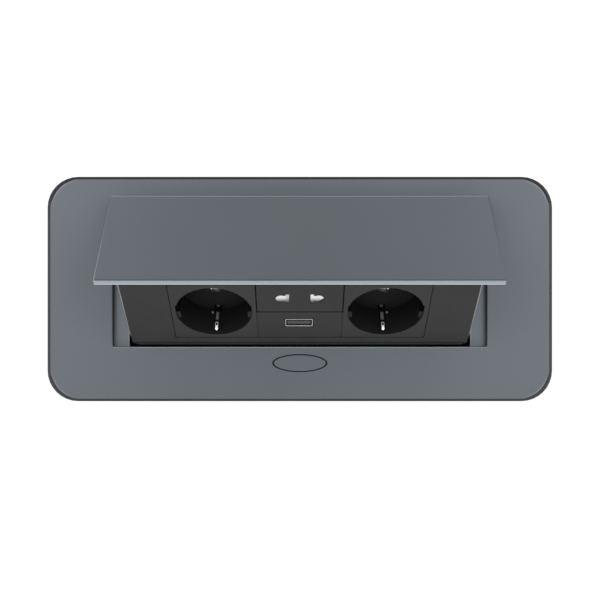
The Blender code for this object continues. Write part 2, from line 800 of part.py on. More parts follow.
def make_cheeks():
    """Sheet cheeks: a side, a flange under the lid, the hinge arm and its stop heel."""
    lean = math.tan(math.radians(FACE_LEAN))

    def face_y(z):
        return FACE_Y - (z - FACE_Z) * lean + CHEEK_SET_BACK

    heel = []
    for radius, angle in ((12.0, 101), (17.7, 98), (17.7, 82), (9.0, 62)):
        turn = math.radians(OPEN_ANGLE + angle)
        heel.append((HINGE_Y + radius * math.cos(turn), HINGE_Z + radius * math.sin(turn)))
    foot = PANEL_FOOT + 1.2
    outline = [
        (face_y(-LID_UNDER), -LID_UNDER),
        (face_y(foot + 4.0), foot + 4.0),
        *arc((face_y(foot + 4.0) + 4.0, foot + 4.0), 4.0, 200, 270, 4),
        (HINGE_Y - 44.0, foot),
        (HINGE_Y - 30.0, -44.0),
        *arc((HINGE_Y, HINGE_Z), EYE_RADIUS, -60, 60, 7),
        *reversed(heel),
        (HINGE_Y - 12.0, HINGE_Z + 2.0),
        (HINGE_Y - 32.0, HINGE_Z - 4.2),
        (HINGE_Y - 35.6, HINGE_Z - 0.2),
        (HINGE_Y - 35.6, -LID_UNDER - 1.6),
        (HINGE_Y - 38.0, -LID_UNDER),
    ]

    def cheek(name, sign):
        x = span(sign, CHEEK_IN, CHEEK_OUT)
        side = side_prism(name, outline, *x, "steel", UNIT)
        flange = box(
            f"{name}_flange",
            span(sign, FLANGE_IN, CHEEK_IN + CHEEK_THICK / 2),
            (FACE_Y + 7.15, HINGE_Y - 38.0),
            (-LID_UNDER - CHEEK_THICK, -LID_UNDER),
            None,
            UNIT,
        )
        join(side, flange)
        bore = PIN_RADIUS + PIN_CLEARANCE
        cut(side, drill(f"{name}_bore", bore, -5, 5, UNIT, "X", (sign * CHEEK_IN, HINGE_Y, HINGE_Z), 18))
        for n, (y, z) in enumerate(cheek_rivet_places()):
            hole = drill(f"{name}_hole_{n}", 1.7, -5, 5, UNIT, "X", (sign * CHEEK_IN, y, z))
            cut(side, hole)
        for n, (x_at, y) in enumerate(lid_screw_places()):
            if x_at * sign > 0:
                cut(side, drill(f"{name}_slot_{n}", 1.8, -9, 1, UNIT, "Z", (x_at, y, 0)))
        return side

    mirrored("cheek", cheek)
    for n, (x, y) in enumerate(lid_screw_places()):
        z = -LID_UNDER - CHEEK_THICK - GAP
        screw(f"lid_screw_{n + 1}", 1.4, -1.4 - z, 2.5, 1.5, "steel", UNIT, (x, y, z))
    number = 0
    for sign in (-1, 1):
        for y, z in cheek_rivet_places():
            number += 1
            bearing = CHEEK_OUT + GAP
            seat = PANEL_X - COVER_WALL - 2 * GAP
            profile = [
                (0, seat - 1.1),
                (2.3, seat - 1.1),
                (2.6, seat - 0.7),
                (2.6, seat),
                (1.4, seat),
                (1.4, bearing),
                (2.6, bearing),
                (2.2, bearing + 0.8),
                (0, bearing + 1.0),
            ]
            if sign < 0:
                profile = [(radius, -height) for radius, height in reversed(profile)]
            turned(f"cheek_rivet_{number}", profile, "steel", UNIT, "X", (0, y, z), 10)


def make_panel():
    """Black front panel: one opening for three modules, blank ends, and a lip that turns in below."""
    thick, lip = PANEL_THICK, PANEL_LIP
    low = PANEL_BOTTOM
    outline = [
        (PANEL_TOP, -thick),
        (PANEL_TOP, -0.4),
        (PANEL_TOP - 0.4, 0.0),
        *arc((low + PANEL_ROUND, -PANEL_ROUND), PANEL_ROUND, 90, 180, 5),
        (low, -lip),
        (low + thick - 0.2, -lip),
        (low + thick - 0.2, -thick - 0.5),
        (low + thick + 0.3, -thick),
    ]
    panel = side_prism("panel_frame", outline, -PANEL_X, PANEL_X, BLACK, FACE)
    opening = box(
        "panel_opening",
        (-1.5 * MODULE, 1.5 * MODULE),
        (-MODULE / 2, MODULE / 2),
        (-thick * 2, 2),
        None,
        FACE,
    )
    cut(panel, opening)


def make_rear_cover():
    wall = COVER_WALL
    front = -PANEL_THICK - GAP
    shell = box(
        "rear_cover",
        (-PANEL_X, PANEL_X),
        (COVER_BOTTOM, COVER_TOP),
        (COVER_BACK, front),
        DARK,
        FACE,
    )
    cut(
        shell,
        box(
            "rear_cover_hollow",
            (-PANEL_X + wall, PANEL_X - wall),
            (COVER_BOTTOM + wall, COVER_TOP + 5),
            (COVER_BACK + wall, 5),
            None,
            FACE,
        ),
    )
    rivets = []
    lean = Matrix.Rotation(-math.radians(90 + FACE_LEAN), 3, "X")
    for y, z in cheek_rivet_places():
        spot = lean @ Vector((0.0, y - FACE_Y, z - FACE_Z))
        rivets.append((spot[1], spot[2]))
    for n, (y, z) in enumerate(rivets):
        hole = drill(f"cover_rivet_hole_{n}", 1.7, -120, 120, FACE, "X", (0, y, z))
        cut(shell, hole)
    # Bored stand-offs that carry the socket modules, and a wire opening in the back
    top = -SCHUKO_DEPTH - SCHUKO_FLOOR - 3.2
    for n, x in enumerate((-MODULE, MODULE)):
        low = COVER_BACK + 0.5
        post = turned(
            f"cover_post_{n}",
            [(0, low), (4.0, low), (4.0, top), (1.9, top), (1.9, low + 5.5), (0, low + 5.5)],
            None,
            FACE,
            at=(x, -SCHUKO_DROP, 0),
            steps=16,
        )
        join(shell, post)
    wide, deep = (PANEL_X - 31.5, PANEL_X - 13.5), (COVER_BACK - 2, COVER_BACK + 5)
    cut(shell, box("cover_wire_opening", wide, (-20, -10), deep, None, FACE))
    return shell


def make_schuko(name, x):
    """Earthed socket insert: face, round recess, side guides, pin holes and floor slots."""
    half = MODULE / 2 - MODULE_GAP
    tall = MODULE / 2 - MODULE_SEAM
    back = -SCHUKO_DEPTH - SCHUKO_FLOOR
    drop = -SCHUKO_DROP
    centre = (x, drop, 0.0)
    edge = 0.25
    face = loft(
        name,
        [
            level(rounded(x - half, x + half, -tall, tall, 0.8, 2), -3.2),
            level(rounded(x - half, x + half, -tall, tall, 0.8, 2), -edge),
            level(rounded(x - half + edge, x + half - edge, -tall + edge, tall - edge, 0.8, 2), 0),
        ],
        BLACK,
        FACE,
    )
    outer = SCHUKO_RECESS + SCHUKO_WALL
    cup = turned(
        f"{name}_cup",
        [(0, back), (outer - 1.5, back), (outer, back + 1.5), (outer, -1.5), (0, -1.5)],
        None,
        FACE,
        at=centre,
        steps=SEGMENTS,
    )
    join(face, cup)
    recess = turned(
        f"{name}_recess",
        [
            (0, -SCHUKO_DEPTH),
            (SCHUKO_RECESS - 0.6, -SCHUKO_DEPTH),
            (SCHUKO_RECESS, -0.4),
            (SCHUKO_RECESS + 0.5, 0.1),
            (SCHUKO_RECESS + 0.5, 2),
            (0, 2),
        ],
        None,
        FACE,
        at=centre,
        steps=40,
    )
    cut(face, recess)
    # On each side a guide rib, and above it a notch in the recess wall, undercut behind its rim
    for sign in (-1, 1):
        near, far = sorted((sign * (SCHUKO_RECESS - 2.2), sign * (SCHUKO_RECESS + 0.6)))
        rise = (drop - 5.4, drop - 0.4)
        rib = box(f"{name}_rib_{sign}", (x + near, x + far), rise, (back + 0.8, -1.0), None, FACE)
        join(face, rib)
        rise = (drop, drop + 5.6)
        near, far = sorted((sign * (SCHUKO_RECESS - 3.0), sign * (SCHUKO_RECESS + 1.0)))
        notch = box(f"{name}_notch_{sign}", (x + near, x + far), rise, (-13.0, -0.9), None, FACE)
        near, far = sorted((sign * (SCHUKO_RECESS - 3.0), sign * (SCHUKO_RECESS + 0.1)))
        mouth = box(f"{name}_mouth_{sign}", (x + near, x + far), rise, (-2.0, 1.0), None, FACE)
        cut(face, notch, mouth)
    floor = -SCHUKO_DEPTH
    for sign in (-1, 1):
        pin = turned(
            f"{name}_pin_{sign}",
            [
                (0, -30),
                (PIN_HOLE, -30),
                (PIN_HOLE, floor - 0.7),
                (PIN_HOLE + 1.0, floor + 0.3),
                (0, floor + 0.3),
            ],
            None,
            FACE,
            at=(x + sign * PIN_PITCH / 2, drop, 0),
            steps=20,
        )
        low, high = sorted((sign * (SCHUKO_RECESS - 4.4), sign * (SCHUKO_RECESS - 0.8)))
        rise = (drop + low, drop + high)
        slot = box(f"{name}_slot_{sign}", (x - 2.0, x + 2.0), rise, (-30, floor + 1), None, FACE)
        cut(face, pin, slot)
    bore = drill(f"{name}_screw_hole", 1.9, -30, -10, FACE, at=centre, steps=14)
    cut(face, bore)
    return face


def make_earth_clip(name, x):
    """Earth strap: a bar behind the socket floor with an upright spring end at top and bottom."""
    back = -SCHUKO_DEPTH - SCHUKO_FLOOR - GAP
    thick = 0.7
    reach = SCHUKO_RECESS - 1.9
    outer = [
        (reach - 1.5, back - thick),
        (reach, back + 0.8),
        (reach, -9.0),
        (reach - 1.3, -6.0),
        (reach + 0.1, -2.8),
    ]
    inner = [
        (reach - 0.6, -2.6),
        (reach - 2.1, -6.0),
        (reach - 0.7, -9.2),
        (reach - 0.7, back + 1.1),
        (reach - 1.8, back),
    ]
    half = outer + inner
    whole = [(y - SCHUKO_DROP, z) for y, z in half + [(-y, z) for y, z in reversed(half)]]
    strap = side_prism(name, whole, x - 1.1, x + 1.1, "nickel", FACE)
    pad = prism(f"{name}_pad", rounded(x - 3.8, x + 3.8, -4.4, 3.6, 1.5, 3), back - thick, back, None, FACE)
    join(strap, pad)
    hole = drill(f"{name}_hole", 1.7, back - 4, back + 4, FACE, at=(x, -SCHUKO_DROP, 0), steps=14)
    cut(strap, hole)
    return strap


def make_contact(name, x):
    """A live contact: a sleeve behind a pin hole with a wire clamp below."""
    top = -SCHUKO_DEPTH - SCHUKO_FLOOR - GAP
    sleeve = turned(
        name,
        [(2.5, top - 11.0), (3.6, top - 11.0), (3.6, top), (2.5, top)],
        "brass",
        FACE,
        at=(x, -SCHUKO_DROP, 0),
        steps=14,
    )
    lug = box(f"{name}_lug", (x - 3.0, x + 3.0), (-9.4, -3.4), (top - 10.5, top - 6.0), None, FACE)
    join(sleeve, lug)
    return sleeve


def make_two_pin():
    half_x = MODULE / 2 - MODULE_GAP
    low, high = MODULE_SEAM * 0.7, MODULE / 2 - MODULE_SEAM
    edge = 0.2
    centre_y = MODULE / 4
    face = loft(
        "two_pin_module",
        [
            level(rounded(-half_x, half_x, low, high, 0.6, 2), -3.0),
            level(rounded(-half_x, half_x, low, high, 0.6, 2), -edge),
            level(rounded(-half_x + edge, half_x - edge, low + edge, high - edge, 0.6, 2), 0),
        ],
        BLACK,
        FACE,
    )
    body = box("two_pin_body", (-17, 17), (1.6, high - 1.4), (-20, -2), None, FACE)
    join(face, body)
    pocket = box("two_pin_pocket", (-15.4, 15.4), (3.0, high - 2.8), (-18.4, -PIN_FACE), None, FACE)
    rear = box("two_pin_rear", (-12, 12), (6.0, high - 6.0), (-26, -16), None, FACE)
    cut(face, pocket, rear)
    for sign in (-1, 1):
        hole = prism(
            f"two_pin_round_{sign}",
            ellipse((sign * ROUND_X, centre_y), ROUND_HOLE, ROUND_HOLE, 20),
            -4,
            2,
            None,
            FACE,
        )
        near, far = sorted((sign * (FLAT_X - FLAT_WIDTH / 2), sign * (FLAT_X + FLAT_WIDTH / 2)))
        slot = box(
            f"two_pin_flat_{sign}",
            (near, far),
            (centre_y - FLAT_HEIGHT / 2, centre_y + FLAT_HEIGHT / 2),
            (-4, 2),
            None,
            FACE,
        )
        bridge_low, bridge_high = sorted((sign * (FLAT_X - 0.4), sign * ROUND_X))
        tall, short = ROUND_HOLE * 0.86, ROUND_HOLE * 0.98
        outline = [
            (bridge_low, centre_y - (short if sign < 0 else tall)),
            (bridge_high, centre_y - (tall if sign < 0 else short)),
            (bridge_high, centre_y + (tall if sign < 0 else short)),
            (bridge_low, centre_y + (short if sign < 0 else tall)),
        ]
        bridge = prism(f"two_pin_bridge_{sign}", outline, -4.2, 2.2, None, FACE)
        cut(face, hole, slot, bridge)

        middle = -PIN_FACE - GAP - 5.0
        roll = [
            *arc((centre_y, middle), 5.0, 15, 165, 6),
            (centre_y - 4.8, -15.0),
            (centre_y - 4.0, -15.0),
            *arc((centre_y, middle), 4.2, 160, 20, 5),
            (centre_y + 4.0, -15.0),
            (centre_y + 4.8, -15.0),
        ]
        side_name = "left" if sign < 0 else "right"
        low_x, high_x = sorted((sign * 4.4, sign * 13.6))
        side_prism(f"pin_contact_{side_name}", roll, low_x, high_x, "nickel", FACE)


def make_usb():
    half_x = MODULE / 2 - MODULE_GAP
    low, high = -MODULE / 2 + MODULE_SEAM, -MODULE_SEAM * 0.7
    edge = 0.2
    face = loft(
        "usb_module",
        [
            level(rounded(-half_x, half_x, low, high, 0.6, 2), -3.0),
            level(rounded(-half_x, half_x, low, high, 0.6, 2), -edge),
            level(rounded(-half_x + edge, half_x - edge, low + edge, high - edge, 0.6, 2), 0),
        ],
        BLACK,
        FACE,
    )
    wide, tall = PORT_WIDTH / 2, PORT_HEIGHT / 2
    body = box("usb_body", (-17, 17), (low + 1.4, high - 1.4), (-24, -2), None, FACE)
    join(face, body)
    hollow = box("usb_hollow", (-15.4, 15.4), (low + 2.9, high - 2.9), (-26, -2.4), None, FACE)
    hole = box(
        "usb_hole",
        (PORT_X - wide - GAP, PORT_X + wide + GAP),
        (PORT_Y - tall - GAP, PORT_Y + tall + GAP),
        (-5, 2),
        None,
        FACE,
    )
    cut(face, hollow, hole)
    shell = prism(
        "usb_shell",
        rounded(PORT_X - wide, PORT_X + wide, PORT_Y - tall, PORT_Y + tall, 0.9, 3),
        -PORT_LENGTH,
        0.2,
        "steel",
        FACE,
    )
    wall = PORT_WALL
    cut(
        shell,
        prism(
            "usb_shell_hollow",
            rounded(
                PORT_X - wide + wall,
                PORT_X + wide - wall,
                PORT_Y - tall + wall,
                PORT_Y + tall - wall,
                0.4,
                3,
            ),
            -PORT_LENGTH + 0.8,
            3,
            None,
            FACE,
        ),
    )
    tongue = box(
        "usb_tongue",
        (PORT_X - 6.2, PORT_X + 6.2),
        (PORT_Y - 2.0, PORT_Y + 0.6),
        (-PORT_LENGTH + 0.8 + GAP, -0.6),
        "black_plastic",
        FACE,
    )
    for n in range(4):
        x = PORT_X - 3.5 + n * 7.0 / 3
        low, high = PORT_Y + 0.4, PORT_Y + 1
        cut(tongue, box(f"usb_groove_{n}", (x - 0.5, x + 0.5), (low, high), (-9.0, -1.2), None, FACE))
    # Board under the port, carried in the module's body
    top = PORT_Y - tall - GAP
    box("usb_board", (-14.6, 14.6), (top - 1.6, top), (COVER_BACK + 8.0, -6), "board", FACE)


def make_socket_unit():
    for side, x in (("left", -MODULE), ("right", MODULE)):
        make_schuko(f"schuko_insert_{side}", x)
        make_earth_clip(f"earth_clip_{side}", x)
        make_contact(f"line_contact_{side}", x - PIN_PITCH / 2)
        make_contact(f"neutral_contact_{side}", x + PIN_PITCH / 2)
        seat = (x, -SCHUKO_DROP, -SCHUKO_DEPTH + GAP)
        screw(f"socket_screw_{side}", 1.5, 16.0, 3.0, 1.6, "steel", FACE, seat, "Z", -1)
    make_two_pin()
    make_usb()
    # Terminal block for the supply, on the back wall between the posts
    low = COVER_BACK + COVER_WALL + GAP
    block = box("terminal_block", (-16, 16), (-12, -2), (low, low + 3.4), BLACK, FACE)
    for n in range(3):
        x = (n - 1) * 10.0
        profile = [(0, low + 0.9), (2.2, low + 0.9), (2.2, low + 9), (0, low + 9)]
        hole = turned(f"terminal_hole_{n}", profile, None, FACE, at=(x, -7, 0), steps=14)
        cut(block, hole)
    # Steel plate that the magnet holds, under the panel's lip
    box("keeper_plate", (-8, 8), (PANEL_BOTTOM - GAP - 0.8, PANEL_BOTTOM - GAP), (-11.5, -4.5), "steel", FACE)


clear_scene()
DESK = bpy.data.objects.new("desk_top_frame", None)
bpy.context.scene.collection.objects.link(DESK)
DESK.location = (0.0, 0.0, HOUSING_BOTTOM * MM)
UNIT = at_hinge("unit_hinge", OPEN_ANGLE)
FACE = on_face(UNIT)

make_faceplate()
make_housing()
make_housing_screws()
make_spring_clips()
make_hinge()
make_gland()
make_release()
make_lid()
make_cheeks()
make_panel()
make_rear_cover()
make_socket_unit()
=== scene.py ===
import json
import math

import bmesh
import bpy
import numpy as np
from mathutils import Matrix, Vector

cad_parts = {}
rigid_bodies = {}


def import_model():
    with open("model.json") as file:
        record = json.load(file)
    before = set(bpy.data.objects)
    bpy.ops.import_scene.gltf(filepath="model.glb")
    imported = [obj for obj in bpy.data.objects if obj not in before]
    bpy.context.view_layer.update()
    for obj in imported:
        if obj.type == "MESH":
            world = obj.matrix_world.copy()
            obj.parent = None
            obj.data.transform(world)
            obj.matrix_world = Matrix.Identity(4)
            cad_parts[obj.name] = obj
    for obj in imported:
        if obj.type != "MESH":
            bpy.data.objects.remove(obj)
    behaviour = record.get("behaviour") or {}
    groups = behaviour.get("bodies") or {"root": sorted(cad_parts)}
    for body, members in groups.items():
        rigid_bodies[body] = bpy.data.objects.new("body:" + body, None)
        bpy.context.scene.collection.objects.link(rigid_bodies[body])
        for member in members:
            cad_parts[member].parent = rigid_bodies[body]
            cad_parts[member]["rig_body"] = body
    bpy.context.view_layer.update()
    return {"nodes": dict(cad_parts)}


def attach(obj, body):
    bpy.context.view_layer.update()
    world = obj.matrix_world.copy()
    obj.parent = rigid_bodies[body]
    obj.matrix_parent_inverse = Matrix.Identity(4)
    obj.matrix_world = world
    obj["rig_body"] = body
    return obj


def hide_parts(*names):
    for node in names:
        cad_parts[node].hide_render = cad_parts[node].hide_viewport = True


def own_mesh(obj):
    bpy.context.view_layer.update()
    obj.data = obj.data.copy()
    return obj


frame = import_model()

mm = 0.001
tiny = 0.000001  # numbers this close count as the same
sides = (("left", -1), ("right", 1))

stance = {
    "plateTop": 66.0,  # height of the faceplate's top over the floor
    "hingeY": 50.0,
    "hingeZ": -22.8,
    "openAngle": 41.2,
    "faceY": -29.15,  # centre of the socket panel's face on the closed unit
    "faceZ": -27.2,
    "faceLean": 2.5,
    "lidX": 103.208,  # half the lid's width
    "lidY": 31.7,
    "module": 45.0,
    "socketDrop": 0.4,  # the earthed recess sits this much below its module's middle
    "pinRise": 11.25,  # the two-pin holes sit this much above the face's middle
}
faceTilt = 90 + stance["faceLean"] - stance["openAngle"]


def turnX(points, degrees):
    # (y, z) turned by the angle, right-handed about X
    c, s = math.cos(math.radians(degrees)), math.sin(math.radians(degrees))
    x, y, z = points.T
    return np.stack([x, y * c - z * s, y * s + z * c], axis=1)


def fromDesk(points):
    # millimetres over the plate's top to metres over the floor
    return (np.asarray(points, float) + [0, 0, stance["plateTop"]]) * mm


def fromClosedUnit(points):
    # closed position, turned open about the hinge
    pivot = np.array([0, stance["hingeY"], stance["hingeZ"]])
    return fromDesk(turnX(np.asarray(points, float) - pivot, -stance["openAngle"]) + pivot)


def fromFace(points):
    # X across the panel, Y up its face, Z out of it
    leant = turnX(np.asarray(points, float), 90 + stance["faceLean"])
    return fromClosedUnit(leant + [0, stance["faceY"], stance["faceZ"]])


class Wire:
    # a socket that can be added, multiplied and compared like a number
    def __init__(self, board, socket):
        self.board = board
        self.socket = socket

    def maths(self, operation, first, second=None):
        return self.board.node("ShaderNodeMath", {"operation": operation}, {0: first, 1: second})

    def __add__(self, other):
        return self.maths("ADD", self, other)

    __radd__ = __add__

    def __sub__(self, other):
        return self.maths("SUBTRACT", self, other)

    def __rsub__(self, other):
        return self.maths("SUBTRACT", other, self)

    def __mul__(self, other):
        return self.maths("MULTIPLY", self, other)

    __rmul__ = __mul__

    def __truediv__(self, other):
        return self.maths("DIVIDE", self, other)

    def __pow__(self, other):
        return self.maths("POWER", self, other)

    def atLeast(self, low):
        return self.maths("MAXIMUM", self, low)

    def size(self):
        return self.maths("ABSOLUTE", self)

    def step(self, low, high):
        # 0 below low, 1 above high, smooth between
        return self.board.node(
            "ShaderNodeMapRange",
            {"interpolation_type": "SMOOTHSTEP"},
            {"Value": self, "From Min": low, "From Max": high},
        )

    def fall(self, low, high):
        # 1 below low, 0 above high, smooth between
        return 1 - self.step(low, high)


def hypotenuse(first, second):
    # the root of the sum of two squares
    return (first * first + second * second) ** 0.5


class Board:
    # the node tree of one material, or of the room
    def __init__(self, name, room=None):
        self.material = room or bpy.data.materials.new(name)
        self.material.use_nodes = True
        self.tree = self.material.node_tree
        self.shader = self.tree.nodes["Background" if room else "Principled BSDF"]

    def node(self, kind, settings=None, values=None, out=0):
        # the settings come first, then the value or the link of each socket
        made = self.tree.nodes.new(kind)
        for key, value in (settings or {}).items():
            setattr(made, key, value)
        for key, value in (values or {}).items():
            if isinstance(value, Wire):
                self.tree.links.new(value.socket, made.inputs[key])
            elif value is not None:
                made.inputs[key].default_value = value
        return Wire(self, made.outputs[out])

    def place(self):
        return self.node("ShaderNodeTexCoord", out="Object")

    def mapped(self, values):
        return self.node("ShaderNodeMapping", {"vector_type": "POINT"}, {"Vector": self.place(), **values})

    def axes(self, spot):
        made = self.node("ShaderNodeSeparateXYZ", {}, {0: spot})
        outputs = made.socket.node.outputs
        return [Wire(self, outputs[i]) for i in range(3)]

    def worldAxes(self):
        # millimetres over the floor
        return self.axes(self.mapped({"Scale": (1 / mm,) * 3}))

    def localAxes(self, fromLocal, tilt):
        # millimetres in a tilted frame: the frame's own origin is taken off and its tilt turned back
        shift = -turnX(fromLocal(np.zeros((1, 3))), -tilt)[0] / mm
        turn = (math.radians(-tilt), 0, 0)
        return self.axes(self.mapped({"Scale": (1 / mm,) * 3, "Rotation": turn, "Location": tuple(shift)}))

    def noise(self, scale, detail=3.0, spot=None):
        values = {"Vector": spot or self.place(), "Scale": scale, "Detail": detail}
        return self.node("ShaderNodeTexNoise", {}, values)

    def stretched(self, scale, stretch):
        # noise drawn out along an axis, for brushing
        return self.noise(scale, spot=self.mapped({"Scale": stretch}))

    def blend(self, mask, first, second):
        return self.node("ShaderNodeMix", {"data_type": "RGBA"}, {0: mask, 6: first, 7: second}, out=2)

    def set(self, socket, value):
        if isinstance(value, Wire):
            self.tree.links.new(value.socket, self.shader.inputs[socket])
        else:
            self.shader.inputs[socket].default_value = value

    def rough(self, noise, low, spread):
        # the roughness goes from low to low plus spread with the noise
        self.set("Roughness", noise * spread + low)

    def bump(self, height, strength, distance):
        values = {"Height": height, "Strength": strength, "Distance": distance}
        self.set("Normal", self.node("ShaderNodeBump", {}, values))


def ink(level, tint=(1.0, 1.0, 1.0)):
    # an sRGB level from 0 to 255, tinted, as a linear colour
    parts = []
    for share in tint:
        value = level * share / 255
        parts.append(value / 12.92 if value <= 0.04045 else ((value + 0.055) / 1.055) ** 2.4)
    return (*parts, 1.0)


noiseSpan = (0.3, 0.7)  # the part of a noise's range that is stretched over all tones
softDetail = 2.0
fineDetail = 4.0

greyFinish = {
    "level": 94,
    "tint": (0.94, 1.0, 1.055),
    "drift": 3,  # levels lighter or darker
    "cloud": 9.0,
    "grain": 2600.0,
    "cloudShare": 0.6,
    "roughness": 0.38,
    "roughSpread": 0.08,
    "metallic": 0.35,
    "shine": 0.35,
    "bump": (0.12, 0.00008),
}


def greyInk(change):
    return ink(greyFinish["level"] + change, greyFinish["tint"])


def greyMetal(name, edge=None):
    # satin grey metal: fine blasted grain, a faint drift of tone, and painted light and shade from an edge
    # function
    look = greyFinish
    made = Board(name)
    cloud = made.noise(look["cloud"], softDetail)
    grain = made.noise(look["grain"], fineDetail)
    tone = (cloud * look["cloudShare"] + grain * (1 - look["cloudShare"])).step(*noiseSpan)
    colour = made.blend(tone, greyInk(-look["drift"]), greyInk(look["drift"]))
    made.set("Base Color", edge(made, colour) if edge else colour)
    made.set("Metallic", look["metallic"])
    made.set("Specular IOR Level", look["shine"])
    made.rough(grain, look["roughness"], look["roughSpread"])
    made.bump(grain, *look["bump"])
    return made.material


# painted shade on the walls of the pocket and painted light on its ledges
pocketShading = {
    "wallTop": (-0.6, -0.4),  # heights from the plate's top between which a tone changes
    "wallFoot": (-3.66, -3.3),
    "ledgeTop": (-3.72, -3.66),
    "wall": 30,
    "wallShare": 0.9,
    "ledge": 14,
}

# a dark line of painted shade round the plate's outer edge, darker along the rear, with painted highlight
# inside it at the corners
rimLine = {
    "halfX": 140.0,
    "halfY": 62.25,
    "corner": 17.0,
    "cornerSpan": (0.0, 0.6),
    "endSpan": (0.3, 0.9),
    "width": 1.55,
    "endWidth": 0.5,  # wider by this much at the plate's ends
    "cornerWidth": 0.7,  # and by this much round its corners
    "highlightSpan": (0.78, 1.3),  # a band of painted highlight inside the rim there
    "lighter": 12,
    "soft": 0.15,
    "level": 42,
    "rearLevel": 8,
    "rearSpan": (30.0, 60.0),
    "tint": (0.92, 1.0, 1.05),
}

# painted highlight lines along the pocket's front and at each ledge's brink
pocketLine = {
    "front": 32.05,
    "wide": 0.4,
    "soft": 0.2,
    "deep": 2.0,
    "half": 103.5,
    "endSoft": 0.3,
    "bright": 92,
    "ledge": 94.9,  # from here out the line is dimmer
    "fade": 12.0,
    "dim": 0.6,
    "brink": 0.6,  # width of the painted highlight line at each ledge's brink
    "lighter": 36,
    "share": 0.8,
}

# painted shade along the edge of the button's hole
ovalLine = {"y": -41.0, "halfX": 14.8, "halfY": 4.85, "span": (1.03, 1.045), "level": 8, "share": 0.9}


def platePaintedShading(made, colour):
    # painted shade makes the walls of the pocket darker than the plate's top, and painted light makes the
    # ledges in it lighter
    x, y, z = made.worldAxes()
    top = z - stance["plateTop"]
    across = x.size()
    ledge = top.fall(*pocketShading["ledgeTop"])
    walls = top.fall(*pocketShading["wallTop"]) * top.step(*pocketShading["wallFoot"]) * pocketShading["wallShare"]
    colour = made.blend(ledge, colour, greyInk(pocketShading["ledge"]))
    colour = made.blend(walls, colour, ink(pocketShading["wall"], greyFinish["tint"]))

    # distance to the rounded outline: the length of what reaches past the corners' centres, less their radius
    radius = rimLine["corner"]
    pastX = (across - (rimLine["halfX"] - radius)).atLeast(0.0)
    pastY = (y.size() - (rimLine["halfY"] - radius)).atLeast(0.0)
    bend = (pastX * pastY * (2 / radius**2)).step(*rimLine["cornerSpan"])
    ends = (pastX * (1 / radius)).step(*rimLine["endSpan"])
    wide = bend * rimLine["cornerWidth"] + ends * rimLine["endWidth"] + rimLine["width"]
    inside = radius - hypotenuse(pastX, pastY) - wide
    rim = inside.fall(-rimLine["soft"], rimLine["soft"])
    # a band of painted highlight just inside the rim round the corners
    colour = made.blend(bend * inside.fall(*rimLine["highlightSpan"]), colour, greyInk(rimLine["lighter"]))

    # a painted highlight line at each ledge's brink, and one along the pocket's front that is dimmer beside
    # the ledges
    front, half, soft = -pocketLine["front"], pocketLine["half"], pocketLine["soft"]
    inner = pocketLine["ledge"]
    outer = inner + pocketLine["brink"]
    brink = ledge * across.fall(outer, outer + pocketLine["endSoft"])
    behind = front - pocketLine["wide"]
    line = y.fall(front, front + soft) * y.step(behind - soft, behind)
    line = line * across.fall(half - pocketLine["endSoft"], half)
    line = line * top.step(-pocketLine["deep"] - soft, -pocketLine["deep"])
    line = line * (1 - across.step(inner - pocketLine["fade"], inner) * pocketLine["dim"])
    colour = made.blend(brink * pocketLine["share"], colour, greyInk(pocketLine["lighter"]))
    colour = made.blend(line * pocketLine["share"], colour, greyInk(pocketLine["bright"]))

    # painted shade along the edge of the button's hole, where the ellipse's equation is near 1
    up = (y - ovalLine["y"]) / ovalLine["halfY"]
    oval = hypotenuse(x * (1 / ovalLine["halfX"]), up).fall(*ovalLine["span"])
    colour = made.blend(oval * ovalLine["share"], colour, ink(ovalLine["level"], rimLine["tint"]))
    # the dark rim is painted shade, darker still along the rear
    dark = [ink(rimLine[level], rimLine["tint"]) for level in ("level", "rearLevel")]
    return made.blend(rim, colour, made.blend(y.step(*rimLine["rearSpan"]), *dark))


# painted light and shade on the lid: lighter ends, painted highlight lines along the rear and left edges,
# painted shade along the right edge and just behind the front face, and a painted highlight on the paler
# front face
lidShadeLines = {
    "ends": (0.7, 12),  # share of the blend, and levels over the lid's own
    "dimmed": (0.7, -16),
    "back": (0.9, 46),
    "left": (0.9, 34),
    "right": (0.8, -26),
    "dullSpan": (0.9, 1.3),  # where each band begins and ends, from the edge that it follows
    "dullDepth": (-0.2, -0.05),
    "backSpan": (-1.5, -1.1),
    "leftSpan": (0.35, 0.8),
    "leftFade": (-1.0, 0.9),
    "leftLoss": 0.8,
    "rightSpan": (-0.7, -0.3),
    "face": (158, 160, 188),  # levels of the front face's painted highlight from its top down
    "faceDepths": ((-1.3, -0.9), (-2.5, -2.1)),
    "faceSpan": (0.02, 0.12),
    "faceShare": 0.95,
    "pale": (0.93, 1.0, 1.05),
}


